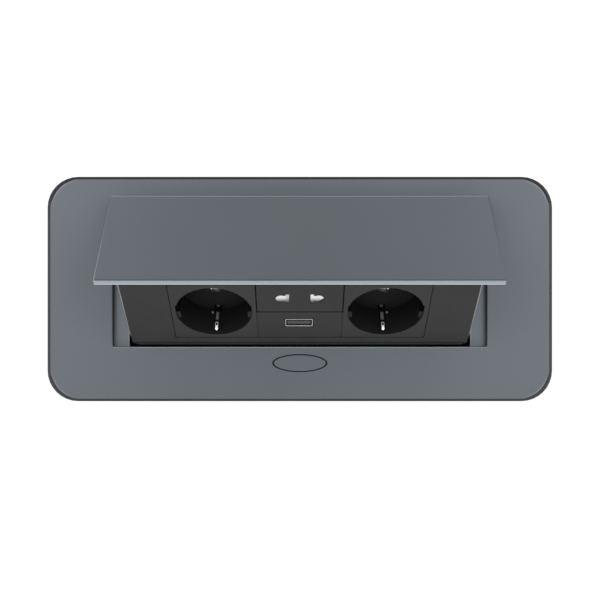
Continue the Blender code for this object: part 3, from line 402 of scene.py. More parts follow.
def lidPaintedShading(made, colour):
    # painted light makes the top lighter at its ends, with highlight lines along its rear and left edges, and
    # painted shade darkens it along the right one and just behind the front face, which is painted paler as a
    # highlight, with a lighter painted highlight line at its foot
    x, y, z = made.localAxes(fromClosedUnit, -stance["openAngle"])
    halfX, halfY = stance["lidX"], stance["lidY"]
    toRear = (y / halfY).step(*lidShadeLines["leftFade"]) * lidShadeLines["leftLoss"]
    bands = {
        "ends": (x / halfX) * (x / halfX),
        "dimmed": (y + halfY).fall(*lidShadeLines["dullSpan"]) * z.step(*lidShadeLines["dullDepth"]),
        "back": (y - halfY).step(*lidShadeLines["backSpan"]),
        "left": (x + halfX).fall(*lidShadeLines["leftSpan"]) * (1 - toRear),
        "right": (x - halfX).step(*lidShadeLines["rightSpan"]),
    }
    for name, mask in bands.items():
        share, change = lidShadeLines[name]
        colour = made.blend(mask * share, colour, greyInk(change))
    upper, middle, lower = (ink(level, lidShadeLines["pale"]) for level in lidShadeLines["face"])
    high, low = lidShadeLines["faceDepths"]
    face = made.blend(z.step(*low), lower, made.blend(z.step(*high), middle, upper))
    return made.blend((y + halfY).fall(*lidShadeLines["faceSpan"]) * lidShadeLines["faceShare"], colour, face)


mouldedLook = {"cloud": 40.0, "roughSpread": 0.2, "shine": 0.25, "bump": (0.25, 0.00006)}


def moulded(name, level, roughness=0.4, grainScale=1500.0, wear=3, shade=None):
    # spark-eroded black plastic: a fine even grain with slightly glossier spots
    made = Board(name)
    grain = made.noise(grainScale)
    cloud = made.noise(mouldedLook["cloud"], softDetail)
    tone = (grain * 0.5 + cloud * 0.5).step(*noiseSpan)
    colour = made.blend(tone, ink(level - wear), ink(level + wear))
    made.set("Base Color", shade(made, colour) if shade else colour)
    made.set("Specular IOR Level", mouldedLook["shine"])
    made.rough(grain, roughness, mouldedLook["roughSpread"])
    made.bump(grain, *mouldedLook["bump"])
    return made.material


# in the tones below a pair of numbers is where a tone sets in: a height up the face, a depth under it
# or a distance from the middle of a hole, in millimetres
recessTone = {
    "radius": (21.2, 21.6),
    "behind": (-0.6, -0.2),
    "share": 0.95,
    "low": 18,
    "high": 8,
    "rise": (-16.0, 4.0),
    "paleDot": 165,
    "paleDotBeside": 3.0,
    "paleDotDepth": 15.0,
    "paleDotSquash": 0.8,
    "paleDotRadius": (0.45, 0.65),
    "paleDotRise": (-15.0, -14.0),
}


def recessShade(made, colour):
    # painted shade makes the inside of each earthed recess darker than the face around it, more so towards
    # its top, and a pale dot is painted on its lower wall beside the earth strap
    x, y, z = made.localAxes(fromFace, faceTilt)
    across = x.size() - stance["module"]
    up = y + stance["socketDrop"]
    inside = hypotenuse(across, up).fall(*recessTone["radius"]) * z.fall(*recessTone["behind"])
    deep = made.blend(up.step(*recessTone["rise"]), ink(recessTone["low"]), ink(recessTone["high"]))
    along = (z + recessTone["paleDotDepth"]) * recessTone["paleDotSquash"]
    paleDot = hypotenuse(across - recessTone["paleDotBeside"], along).fall(*recessTone["paleDotRadius"])
    paleDot = paleDot * up.fall(*recessTone["paleDotRise"])
    return made.blend(paleDot, made.blend(inside * recessTone["share"], colour, deep), ink(recessTone["paleDot"]))


seamTone = {"behind": (-0.2, -0.06), "level": 6}


def seamShade(made, colour):
    # painted shade makes the walls in the seams between the modules darker than their faces
    z = made.localAxes(fromFace, faceTilt)[2]
    return made.blend(z.fall(*seamTone["behind"]), colour, ink(seamTone["level"]))


sheetLook = {
    "lines": 900.0,
    "spots": 120.0,
    "lineShare": 0.6,
    "squeeze": 0.05,  # how far the lines are drawn out
    "darker": 16,
    "lighter": 12,
    "roughSpread": 0.22,
    "bump": (0.15, 0.00005),
}


def sheetSteel(name, level=172, roughness=0.24, along="X"):
    # zinc-plated sheet with rolling marks along one axis
    look = sheetLook
    made = Board(name)
    lines = made.stretched(look["lines"], [look["squeeze"] if axis == along else 1 for axis in "XYZ"])
    spots = made.noise(look["spots"], fineDetail)
    tone = (lines * look["lineShare"] + spots * (1 - look["lineShare"])).step(*noiseSpan)
    made.set("Base Color", made.blend(tone, ink(level - look["darker"]), ink(level + look["lighter"])))
    made.set("Metallic", 1.0)
    made.rough(lines, roughness, look["roughSpread"])
    made.bump(lines, *look["bump"])
    return made.material


def hazyMetal(name, paint, roughness, spread=0.16, scale=300.0, metallic=1.0):
    # bare metal whose colour and roughness drift with a soft noise
    made = Board(name)
    haze = made.noise(scale)
    made.set("Base Color", paint(made, haze))
    made.set("Metallic", metallic)
    made.rough(haze, roughness, spread)
    return made.material


plating = {"darker": 14, "lighter": 10, "warm": (1, 1, 0.98), "roughness": 0.18}


def nickel(name, level):
    def paint(made, haze):
        light = ink(level + plating["lighter"], plating["warm"])
        return made.blend(haze, ink(level - plating["darker"]), light)

    return hazyMetal(name, paint, plating["roughness"])


brassLook = {
    "dark": (0.45, 0.29, 0.09, 1),
    "light": (0.62, 0.43, 0.17, 1),
    "roughness": 0.26,
    "spread": 0.2,
    "scale": 260.0,
}


def brass(name):
    def paint(made, haze):
        return made.blend(haze, brassLook["dark"], brassLook["light"])

    return hazyMetal(name, paint, brassLook["roughness"], brassLook["spread"], brassLook["scale"])


# painted light and shade on the earth straps, and painted shade for their holes
strapTone = {
    "holeDepth": 4.7,
    "holeSquash": 0.8,
    "hole": (0.5, 0.7),
    "upper": (-2.0, 0.0),  # heights on the face between which the lower end gives way to the upper
    "litFrom": (-14.2, -13.4),
    "litTo": (-8.8, -8.4),
    "bend": (-17.8, -17.2),
    "bendRise": (-14.0, -12.0),
    "end": (-6.8, -6.4),
    "tip": (-2.6, -2.2),
    "tipHalf": (0.3, 0.6),
    "tipShare": 0.35,
    "shaded": ink(30),
    "dimmed": (ink(136), ink(160)),
    "bright": (ink(240), ink(253)),
    "dark": ink(14),
    "roughness": 0.3,
    "spread": 0.14,
    "metallic": 0.55,
}


def strapPaint(made, haze):
    # pale tinned metal with painted light and shade: a painted highlight at the lower end and the upper tip,
    # dimmer along the lit strap and its bend, painted shade elsewhere between them, and a dark spot painted
    # as shade in a punched hole near each end
    x, y, z = made.localAxes(fromFace, faceTilt)
    across = x.size() - stance["module"]
    hole = hypotenuse(across, (z + strapTone["holeDepth"]) * strapTone["holeSquash"]).fall(*strapTone["hole"])
    upper = y.step(*strapTone["upper"])
    lit = z.step(*strapTone["litFrom"]) * z.fall(*strapTone["litTo"]) * (1 - upper)
    bend = z.fall(*strapTone["bend"]) * y.fall(*strapTone["bendRise"])
    dimmed = made.blend(bend.atLeast(lit), strapTone["shaded"], made.blend(haze, *strapTone["dimmed"]))
    tip = z.step(*strapTone["tip"]) * across.size().fall(*strapTone["tipHalf"]) * strapTone["tipShare"]
    bright = z.step(*strapTone["end"]) * (1 - upper) + upper * tip
    colour = made.blend(bright, dimmed, made.blend(haze, *strapTone["bright"]))
    return made.blend(hole, colour, strapTone["dark"])


# painted light and shade on the two-pin lips
lipTone = {
    "haze": 0.4,
    "rise": (-2.4, 1.4),
    "leftFrom": (-8.0, -6.2),
    "leftTo": (-4.0, 4.0),
    "leftLoss": 0.4,
    "dimmed": ink(98),
    "bright": ink(222),
    "bend": (11.6, 12.4),
    "shaded": ink(3),
    "roughness": 0.26,
    "metallic": 0.7,
}


def lipPaint(made, haze):
    # painted highlight at the crown of the lip fading to painted shade towards its foot, part of the left one
    # painted dimmer; the right one has painted shade below its bend
    x, y, z = made.localAxes(fromFace, faceTilt)
    height = y - stance["pinRise"]
    left = x.step(*lipTone["leftFrom"]) * x.fall(*lipTone["leftTo"])
    tone = (height + haze * lipTone["haze"]).step(*lipTone["rise"]) * (1 - left * lipTone["leftLoss"])
    colour = made.blend(tone, lipTone["dimmed"], lipTone["bright"])
    return made.blend((x - height).step(*lipTone["bend"]), colour, lipTone["shaded"])


boardLook = {
    "tracks": {"Scale": 260.0, "Mortar Size": 0.03},
    "lacquer": {"Color1": (0.02, 0.13, 0.05, 1), "Color2": (0.03, 0.18, 0.07, 1)},
    "copper": {"Mortar": (0.10, 0.30, 0.12, 1)},
    "noise": 500.0,
    "roughness": 0.3,
    "spread": 0.2,
    "relief": 700.0,
    "bump": (0.2, 0.00005),
}


def circuit(name):
    # green lacquer in blocks, with paler tracks between them
    made = Board(name)
    values = {"Vector": made.place(), **boardLook["tracks"], **boardLook["lacquer"], **boardLook["copper"]}
    made.set("Base Color", made.node("ShaderNodeTexBrick", {"offset": 0.5}, values))
    made.rough(made.noise(boardLook["noise"]), boardLook["roughness"], boardLook["spread"])
    made.bump(made.noise(boardLook["relief"]), *boardLook["bump"])
    return made.material


finishes = {
    "plate": greyMetal("satinGreyPlate", platePaintedShading),
    "lid": greyMetal("satinGreyLid", lidPaintedShading),
    "button": greyMetal("satinGreyButton"),
    "panel": moulded("blackPanel", 39),
    "insert": moulded("blackInsert", 41, shade=recessShade),
    "module": moulded("blackModule", 38, shade=seamShade),
    "tongue": moulded("portTongue", 67, 0.35),
    # the foot bead's near-black is painted shade
    "bead": moulded("footBead", 15, 0.5, wear=2),
    "tub": moulded("housingPlastic", 52, 0.5, 1100.0),
    "gland": moulded("glandPlastic", 46),
    "steel": sheetSteel("zincSheet"),
    "cheek": sheetSteel("cheekSheet", 160, 0.3, "Y"),
    "pin": sheetSteel("turnedSteel", 180, 0.18),
    "spring": sheetSteel("springWire", 150, 0.2),
    "shell": sheetSteel("portShell", 166, 0.2),
    "nickel": nickel("nickelPlate", 205),
    "magnet": nickel("magnetPlate", 120),
    "brass": brass("contactBrass"),
    "gold": brass("goldFlash"),
    "board": circuit("boardLacquer"),
    # the tin of the earth straps carries painted light and shade
    "tin": hazyMetal(
        "tinPaintedShading", strapPaint, strapTone["roughness"], strapTone["spread"], metallic=strapTone["metallic"]
    ),
    # the nickel of the lips carries painted light and shade
    "lip": hazyMetal("lipNickel", lipPaint, lipTone["roughness"], metallic=lipTone["metallic"]),
}
print("finishes:", len(finishes))


def addPiece(name, points, faces, finish, body, angle=35):
    # points in metres; faces of any length
    mesh = bpy.data.meshes.new(name)
    mesh.from_pydata(np.asarray(points).tolist(), [], [tuple(map(int, face)) for face in faces])
    mesh.update()
    mesh.shade_smooth()
    mesh.set_sharp_from_angle(angle=math.radians(angle))
    piece = bpy.data.objects.new(name, mesh)
    bpy.context.scene.collection.objects.link(piece)
    mesh.materials.append(finishes[finish])
    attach(piece, body)
    return piece


def closePoles(piece):
    # rings of no radius become one point, and all faces are turned outwards
    work = bmesh.new()
    work.from_mesh(piece.data)
    bmesh.ops.remove_doubles(work, verts=work.verts, dist=tiny)
    bmesh.ops.recalc_face_normals(work, faces=work.faces)
    work.to_mesh(piece.data)
    work.free()


def addSkin(name, grid, place, finish, body, angle=60, capped=True):
    # a grid of points with its rows closed into rings: quads join each ring to the next, and the first
    # and last rings may be capped; place takes the points to metres
    rows, columns = grid.shape[:2]
    i, j = np.meshgrid(np.arange(rows - 1), np.arange(columns), indexing="ij")
    k = (j + 1) % columns
    here, ahead = i * columns, (i + 1) * columns
    quads = np.stack([here + j, here + k, ahead + k, ahead + j], axis=-1)
    faces = list(map(tuple, quads.reshape(-1, 4)))
    if capped:
        faces += [tuple(reversed(range(columns))), tuple(range((rows - 1) * columns, rows * columns))]
    piece = addPiece(name, place(grid.reshape(-1, 3)), faces, finish, body, angle)
    closePoles(piece)
    return piece


def unitRows(vectors):
    return vectors / np.linalg.norm(vectors, axis=1)[:, None]


wireSeed = (0.3, 0.5, 0.8)  # any direction that no wire starts along


def wireGrid(path, radius, sides):
    # a circle of the radius carried along the path, square to it at each point and never twisting: its
    # guide is the last one less the part of it that lies along the path
    path = np.asarray(path, float)
    ahead = unitRows(np.gradient(path, axis=0))
    guide = np.zeros_like(ahead)
    guide[:1] = unitRows(np.cross(ahead[:1], wireSeed))
    for i in range(1, len(path)):
        guide[i] = guide[i - 1] - ahead[i] * np.dot(guide[i - 1], ahead[i])
        guide[i] /= np.linalg.norm(guide[i])
    side = np.cross(ahead, guide)
    turn = np.linspace(0, math.tau, sides, endpoint=False)
    ring = guide[:, None] * np.cos(turn)[None, :, None] + side[:, None] * np.sin(turn)[None, :, None]
    return path[:, None] + ring * radius


def smoothPath(points, spacing, passes=6, fewest=8):
    # corners of a polyline rounded: even points along it, each moved to half of itself and a quarter of
    # each neighbour, some times over
    points = np.asarray(points, float)
    gaps = np.linalg.norm(np.diff(points, axis=0), axis=1)
    along = np.concatenate([[0], np.cumsum(gaps)])
    even = np.linspace(0, along[-1], max(fewest, int(along[-1] / spacing)))
    path = np.stack([np.interp(even, along, points[:, k]) for k in range(3)], axis=1)
    for _ in range(passes):
        path[1:-1] = path[1:-1] * 0.5 + (path[:-2] + path[2:]) * 0.25
    return path


torsionSpring = {
    "wire": 0.6,
    "sides": 12,
    "coil": 3.6,
    "turns": 5.5,
    "start": 80.41,
    "end": 89.41,
    "perTurn": 28,
    "spacing": 0.7,
    "firstLeg": ((0, 3.8, 16.8), (0, 3.4, 4.0), (0, 2.2, 0.3)),  # from the coil's first point
    "lastLeg": ((0, -2.0, 0.1), (1.0, -16.0, 4.0)),  # from its last, outwards, back and up
}


def addTorsionSpring(side, sign):
    # x goes along the axis while the wire runs round it: y and z are the coil's radius times cosine and sine
    t = np.linspace(0, 1, int(torsionSpring["turns"] * torsionSpring["perTurn"]))
    angle = math.tau * torsionSpring["turns"] * t + math.pi / 2
    x = sign * (torsionSpring["start"] + (torsionSpring["end"] - torsionSpring["start"]) * t)
    y = stance["hingeY"] + torsionSpring["coil"] * np.cos(angle)
    z = stance["hingeZ"] + torsionSpring["coil"] * np.sin(angle)
    coil = np.stack([x, y, z], axis=1)
    first = coil[0] + np.array(torsionSpring["firstLeg"])
    last = coil[-1] + np.array(torsionSpring["lastLeg"]) * [sign, 1, 1]
    path = smoothPath(np.concatenate([first, coil, last]), torsionSpring["spacing"])
    grid = wireGrid(path, torsionSpring["wire"], torsionSpring["sides"])
    piece = addSkin(f"torsionWire_{side}", grid, fromDesk, "spring", "root")
    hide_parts(f"torsion_spring_{side}")


returnSpring = {
    "wire": 0.4,
    "sides": 12,
    "coil": 3.6,
    "turns": 6,
    "low": -27.2,
    "high": -6.0,
    "y": -41.0,
    "perTurn": 28,
    "flatEnd": 0.08,  # share of the wire that lies flat at each end
    "pressed": 0.88,  # its length under the pressed button, as a share
}


def addReturnSpring():
    # a helix round the button's stem: the rise is the share of the wire that is past its flat first end
    t = np.linspace(0, 1, returnSpring["turns"] * returnSpring["perTurn"])
    rise = np.clip((t - returnSpring["flatEnd"]) / (1 - 2 * returnSpring["flatEnd"]), 0, 1)
    angle = math.tau * returnSpring["turns"] * t
    x = returnSpring["coil"] * np.cos(angle)
    y = returnSpring["coil"] * np.sin(angle) + returnSpring["y"]
    z = returnSpring["low"] + (returnSpring["high"] - returnSpring["low"]) * rise
    grid = wireGrid(np.stack([x, y, z], axis=1), returnSpring["wire"], returnSpring["sides"])
    piece = addSkin("returnSpringWire", grid, fromDesk, "spring", "root")
    foot = fromDesk([0, returnSpring["y"], returnSpring["low"]])
    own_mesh(piece)
    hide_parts("button_spring")


screws = {
    "around": 48,
    "slotWidth": 0.34,  # half the width of each arm of the cross, as a share of the head's radius
    "slotReach": 0.62,
    "slotDepth": 0.55,  # as a share of the head's height
    "skirt": 0.45,  # heights of the head's rim and of its dome's foot, as shares of its height
    "shoulder": 0.62,
    "dome": 2.5,
    "crownRings": 14,
    "ringsPerMm": 5,
    "tip": 0.6,  # radius of the tip as a share of the shank's
    "pitch": 0.5,
    "threadDepth": 0.12,
    "plainTip": 0.3,
    "plainNeck": 0.2,
}


def screwGrid(shank, head, height, length):
    # radius against height from the tip to the crown; round the axis, a cross is sunk in the crown
    # and a ridge winds up the shank: depth times the sine of angle less height over pitch
    shaft = np.linspace(length, 0, max(screws["crownRings"], int(length * screws["ringsPerMm"])))
    neck = np.stack([np.full(len(shaft), shank), shaft], axis=1)
    under = [[head, 0.0], [head, -height * screws["skirt"]]]
    crown = np.linspace(1, 0, screws["crownRings"])[1:]
    dome = screws["shoulder"] + (1 - screws["shoulder"]) * (1 - crown ** screws["dome"])
    top = np.stack([head * crown, -height * dome], axis=1)
    profile = np.concatenate([[[0, length], [shank * screws["tip"], length]], neck, under, top])
    turn = np.linspace(0, math.tau, screws["around"], endpoint=False)
    radius, high = profile[:, :1] + np.zeros_like(turn), profile[:, 1:] + np.zeros_like(turn)
    threaded = (np.abs(radius - shank) < tiny) & (high < length - screws["plainTip"])
    wave = 0.5 + 0.5 * np.sin(turn - math.tau * high / screws["pitch"])
    radius = radius - (threaded & (high > screws["plainNeck"])) * screws["threadDepth"] * wave
    x, y = radius * np.cos(turn), radius * np.sin(turn)
    arms = np.minimum(np.abs(x), np.abs(y)) < screws["slotWidth"] * head * 0.5
    sunk = arms & (np.hypot(x, y) < screws["slotReach"] * head) & (high < -height * 0.5)
    return np.stack([x, y, high + sunk * screws["slotDepth"] * height], axis=-1)


screwKinds = {  # shank radius, head radius, head height, where it was set and which way its head lies
    "housing": (1.5, 3.0, 2.2, (fromDesk, 0), 1),
    "bracket": (1.5, 2.8, 1.8, (fromDesk, 0), 1),
    "lid": (1.4, 2.5, 1.5, (fromClosedUnit, -stance["openAngle"]), 1),
    "socket": (1.5, 3.0, 1.6, (fromFace, faceTilt), -1),
}


def addScrew(name):
    # the screw stands where its solid does: the solid's points give its ends in the frame it was set in
    shank, head, height, (place, tilt), flip = screwKinds[name.partition("_screw")[0]]
    node = frame["nodes"][name]
    corners = np.empty(len(node.data.vertices) * 3)
    node.data.vertices.foreach_get("co", corners)
    local = turnX(corners.reshape(-1, 3) - place(np.zeros((1, 3))), -tilt) / mm
    low, high = local.min(axis=0), local.max(axis=0)
    middle = (low + high) / 2
    bearing = high[2] - height if flip < 0 else low[2] + height
    length = bearing - low[2] if flip < 0 else high[2] - bearing
    grid = screwGrid(shank, head, height, length) * [1, flip, flip] + [middle[0], middle[1], bearing]
    piece = addSkin(f"{name}Cut", grid, place, "pin", node["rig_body"], angle=40, capped=False)
    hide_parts(name)


gland = {
    "y": 20.0,
    "z": -46.0,
    "wall": 130.0,
    "around": 144,
    "bush": 6.0,
    "bushRings": 31,
    "bore": 3.2,
    "depth": 8.5,  # how far the bush reaches in from the wall
    "flange": ((8.6, 0.3), (8.6, 0.6), (8.6, 2.4), (8.4, 2.7)),  # radius, and height over the wall
    "cap": ((7.4, 3.0), (7.2, 3.4), (6.7, 6.2), (6.4, 6.9), (5.4, 8.1), (3.4, 8.1), (3.2, 7.8)),
    "ribs": 18,
    "ribDepth": 0.35,
    "ribFrom": (6.3, 3.2),  # the ribs are where radius and height are over these
    "ribEdge": 1.6,
    "threadDepth": 0.3,
    "threadSpan": (-8.2, -0.4),
    "pitch": 1.5,
}


def addGland():
    # a closed profile of height against radius turned about X; ribs on the cap are a clipped
    # cosine of the angle, and a thread on the bush is a sine of angle less height over pitch
    wall, bush, bore, depth = gland["wall"], gland["bush"], gland["bore"], gland["depth"]
    reach = np.linspace(-depth, gland["flange"][0][1], gland["bushRings"])
    outside = np.stack([np.full(len(reach), bush), reach], axis=1)
    profile = np.concatenate(
        [[[bore, -depth]], outside, gland["flange"], gland["cap"], [[bore, 0.0], [bore, -depth]]]
    )
    turn = np.linspace(0, math.tau, gland["around"], endpoint=False)
    radius, high = profile[:, :1] + np.zeros_like(turn), profile[:, 1:] + np.zeros_like(turn)
    low, top = gland["threadSpan"]
    thread = (np.abs(radius - bush) < tiny) & (high > low) & (high < top)
    ribbed = (radius > gland["ribFrom"][0]) & (high > gland["ribFrom"][1])
    ribs = np.clip(np.cos(turn * gland["ribs"]) * gland["ribEdge"], -1, 1)
    wave = np.sin(turn - math.tau * (high + wall) / gland["pitch"])
    radius = radius - ribbed * gland["ribDepth"] * (0.5 - 0.5 * ribs)
    radius = radius - thread * gland["threadDepth"] * (0.5 + 0.5 * wave)
    y, z = gland["y"] + radius * np.cos(turn), gland["z"] + radius * np.sin(turn)
    grid = np.stack([high + wall, y, z], axis=-1)
    piece = addSkin("glandRibbed", grid, fromDesk, "gland", "root", angle=40, capped=False)
    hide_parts("cable_gland")


footBead = {"y": -29.8, "z": 3.6, "radius": 0.75, "half": 91.5, "steps": 60, "sides": 16}


def addFootBead():
    # a bead under the panel's foot, near-black as painted shade: a circle carried along X, shrunk to nothing
    # at its ends by a quarter of a sine
    along = np.linspace(-1, 1, footBead["steps"]) * footBead["half"]
    path = np.stack([along, np.full_like(along, footBead["y"]), np.full_like(along, footBead["z"])], axis=1)
    spare = np.clip((footBead["half"] - np.abs(along)) / footBead["radius"], 0, 1)
    shrink = np.sin(spare * math.pi / 2)[:, None, None]
    grid = wireGrid(path, footBead["radius"], footBead["sides"])
    grid = path[:, None] + (grid - path[:, None]) * shrink
    addSkin("footBead", grid, fromDesk, "bead", "unit", capped=False)


def barGrid(section, along, axis):
    # a flat section carried along Y or Z of the panel's face: its own two columns fill the other axes
    grid = np.empty((len(along), len(section), 3))
    grid[..., [k for k in range(3) if k != axis]] = section
    grid[..., axis] = along[:, None]
    return grid


port = {
    "contacts": 4,
    "x": -3.9,
    "y": -8.4,
    "pitch": 7.0 / 3,
    "width": 0.9,
    "thick": 0.12,
    "low": -9.0,
    "high": -1.4,
    "bow": 0.22,
    "steps": 24,
}


def addPortContacts():
    # four sprung strips on the tongue, each bowed by a half sine along its length
    t = np.linspace(0, 1, port["steps"])
    half, thick = port["width"] / 2, port["thick"]
    section = np.array([(-half, 0.0), (half, 0.0), (half, -thick), (-half, -thick)])
    for n in range(port["contacts"]):
        grid = barGrid(section, port["low"] + (port["high"] - port["low"]) * t, 2)
        grid[..., 0] += port["x"] + n * port["pitch"]
        grid[..., 1] += port["y"] + port["bow"] * np.sin(math.pi * t)[:, None]
        addSkin(f"portContact_{n + 1}", grid, fromFace, "gold", "unit", angle=40)


seamFill = {"half": 0.22, "deep": -1.2, "face": -0.1, "low": -22.0, "high": -0.6, "steps": 12}


def addSeamFill(side, sign):
    # a low strip in the seam at a side of the port module: a box as a closed profile along its length
    wide, deep, face = seamFill["half"], seamFill["deep"], seamFill["face"]
    section = np.array([(-wide, deep), (wide, deep), (wide, face), (-wide, face)])
    grid = barGrid(section, np.linspace(seamFill["low"], seamFill["high"], seamFill["steps"]), 1)
    grid[..., 0] += sign * stance["module"] / 2
    addSkin(f"seamFill_{side}", grid, fromFace, "panel", "unit", angle=40)


lip = {
    "roundX": 9.85,
    "roundHole": 2.75,
    "flatX": 6.35,
    "flatWidth": 2.0,
    "flatHeight": 7.6,
    "middle": 7.75,
    "bridge": 0.86,  # height of the slope between slot and disc, as a share of the disc's radius
    "drop": -0.4,
    "inset": 0.15,
    "front": -0.06,
    "back": -1.55,
    "bulge": 0.01,
    "crown": 0.9,
    "edge": 0.1,
    "rings": 18,
    "around": 96,
    "shares": (0.05, 0.02),  # of the innermost rings: of the edge's reach, and of the reach's square
    "search": (6, 400),  # farthest reach that is tried, and how many
}


def addPinLip(side, sign):
    # the bright lip fills its hole: the hole's outline, found as the farthest reach of a disc, a slot
    # and the slope between them along rays from the middle, is shrunk ring by ring to that middle, and
    # its depth falls as the square of the height over or under the crown
    inset, middle = lip["inset"], lip["middle"]
    turn = np.linspace(0, math.tau, lip["around"], endpoint=False)
    ray = np.stack([np.cos(turn), np.sin(turn)], axis=1)
    reach = np.linspace(0, *lip["search"])
    spots = ray[:, None] * reach[None, :, None] + [middle, 0]
    x, y = spots[..., 0], np.abs(spots[..., 1])
    disc = np.hypot(x - lip["roundX"], y) < lip["roundHole"] - inset
    slot = (np.abs(x - lip["flatX"]) < lip["flatWidth"] / 2 - inset) & (y < lip["flatHeight"] / 2 - inset * 2)
    bridge = (x > lip["flatX"]) & (x < lip["roundX"]) & (y < lip["roundHole"] * lip["bridge"] - inset)
    edge = np.where(disc | slot | bridge, reach, 0).max(axis=1)
    edge = (edge + np.roll(edge, 1) + np.roll(edge, -1)) / 3
    first, square = lip["shares"]
    share = np.concatenate([[first], np.sqrt(np.linspace(square, 1, lip["rings"]))])
    flat = ray[None] * (edge[None] * share[:, None])[..., None]
    depth = lip["front"] - lip["bulge"] * (flat[..., 1] - lip["crown"]) ** 2
    depth = depth - lip["edge"] * share[:, None] ** 8
    flat = np.concatenate([flat, flat[-1:]], axis=0)
    depth = np.concatenate([depth, np.full((1, lip["around"]), lip["back"])], axis=0)
    grid = np.stack(
        [sign * (flat[..., 0] + middle), flat[..., 1] + stance["pinRise"] + lip["drop"], depth], axis=-1
    )
    addSkin(f"pinLip_{side}", grid, fromFace, "lip", "unit")


strap = {
    "half": 0.84,
    "thick": 0.7,
    "path": ((0, -20.35), (16.2, -20.35), (17.55, -18.85), (17.55, -8.0), (16.2, -4.8), (17.6, -1.7)),
    "spacing": 0.45,
    "around": 20,
    "square": (0.45, 0.6),  # powers that square off the section's width and thickness
    "waist": 0.3,
    "waistAt": 0.945,
    "waistWide": 0.014,
    "tip": 0.6,
    "tipFrom": 0.97,
}


def addEarthStrap(side, sign):
    # half of the strap is a path up from the middle, rounded at each bend; the section is a flat
    # rounded bar carried along it, waisted by a bell curve near each end and narrowed at the tip
    half = list(strap["path"])
    line = [(-y, z) for y, z in reversed(half)] + half[1:]
    x = sign * stance["module"]
    path = smoothPath([(x, y - stance["socketDrop"], z) for y, z in line], strap["spacing"])
    across = np.array([1.0, 0, 0])
    out = np.cross(across, unitRows(np.gradient(path, axis=0)))
    turn = np.linspace(0, math.tau, strap["around"], endpoint=False)
    c, s = np.cos(turn), np.sin(turn)
    wide = np.sign(c) * np.abs(c) ** strap["square"][0] * strap["half"]
    tall = np.sign(s) * np.abs(s) ** strap["square"][1] * strap["thick"] / 2
    t = np.abs(np.linspace(-1, 1, len(path)))
    taper = 1 - strap["tip"] * np.clip((t - strap["tipFrom"]) / (1 - strap["tipFrom"]), 0, 1) ** 2
    taper = taper - strap["waist"] * np.exp(-(((t - strap["waistAt"]) / strap["waistWide"]) ** 2))
    grid = path[:, None] + across * (wide[None, :, None] * taper[:, None, None])
    grid = grid + out[:, None] * tall[None, :, None]
    piece = addSkin(f"earthStrap_{side}", grid, fromFace, "tin", "unit")
    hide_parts(f"earth_clip_{side}")


bevels = {  # width of the small rounding on each node whose name ends so, in millimetres
    "faceplate": 0.12,
    "lid": 0.15,
    "push_button": 0.1,
    "panel_frame": 0.25,
    "rear_cover": 0.3,
    "housing": 0.3,
    "insert_left": 0.12,
    "insert_right": 0.12,
    "two_pin_module": 0.1,
    "usb_module": 0.1,
    "usb_shell": 0.08,
    "cheek_left": 0.12,
    "cheek_right": 0.12,
}

finishWords = {  # the finish of each node whose name holds the word; the first that fits counts
    "faceplate": "plate",
    "lid": "lid",
    "push_button": "button",
    "panel_frame": "panel",
    "rear_cover": "tub",
    "housing": "tub",
    "insert": "insert",
    "two_pin_module": "module",
    "usb_module": "module",
    "usb_shell": "shell",
    "usb_tongue": "tongue",
    "usb_board": "board",
    "terminal_block": "insert",
    "release_lever": "tub",
    "catch_magnet": "magnet",
    "gland_nut": "gland",
    "cheek_rivet": "pin",
    "cheek": "cheek",
    "hinge_pin": "pin",
    "lever_pin": "pin",
    "pin_contact": "nickel",
    "line_contact": "brass",
    "neutral_contact": "brass",
}

dressing = {
    "merge": 0.000002,
    "flatWithin": 0.6,
    "areaWithin": 0.0002,  # a merge that changes the surface by more than this share is undone
    "sharp": 32,
    "bevelFrom": 35,
    "pairFace": 0.01,
    "pairShape": 3.1,
    "windowed": {"panel_frame"},
}


def finishFor(name):
    # what no word names is zinc-plated sheet
    return next((finish for word, finish in finishWords.items() if word in name), "steel")


def triangleArea(mesh):
    # the sum over all its triangles
    mesh.calc_loop_triangles()
    areas = np.empty(len(mesh.loop_triangles))
    mesh.loop_triangles.foreach_get("area", areas)
    return areas.sum()


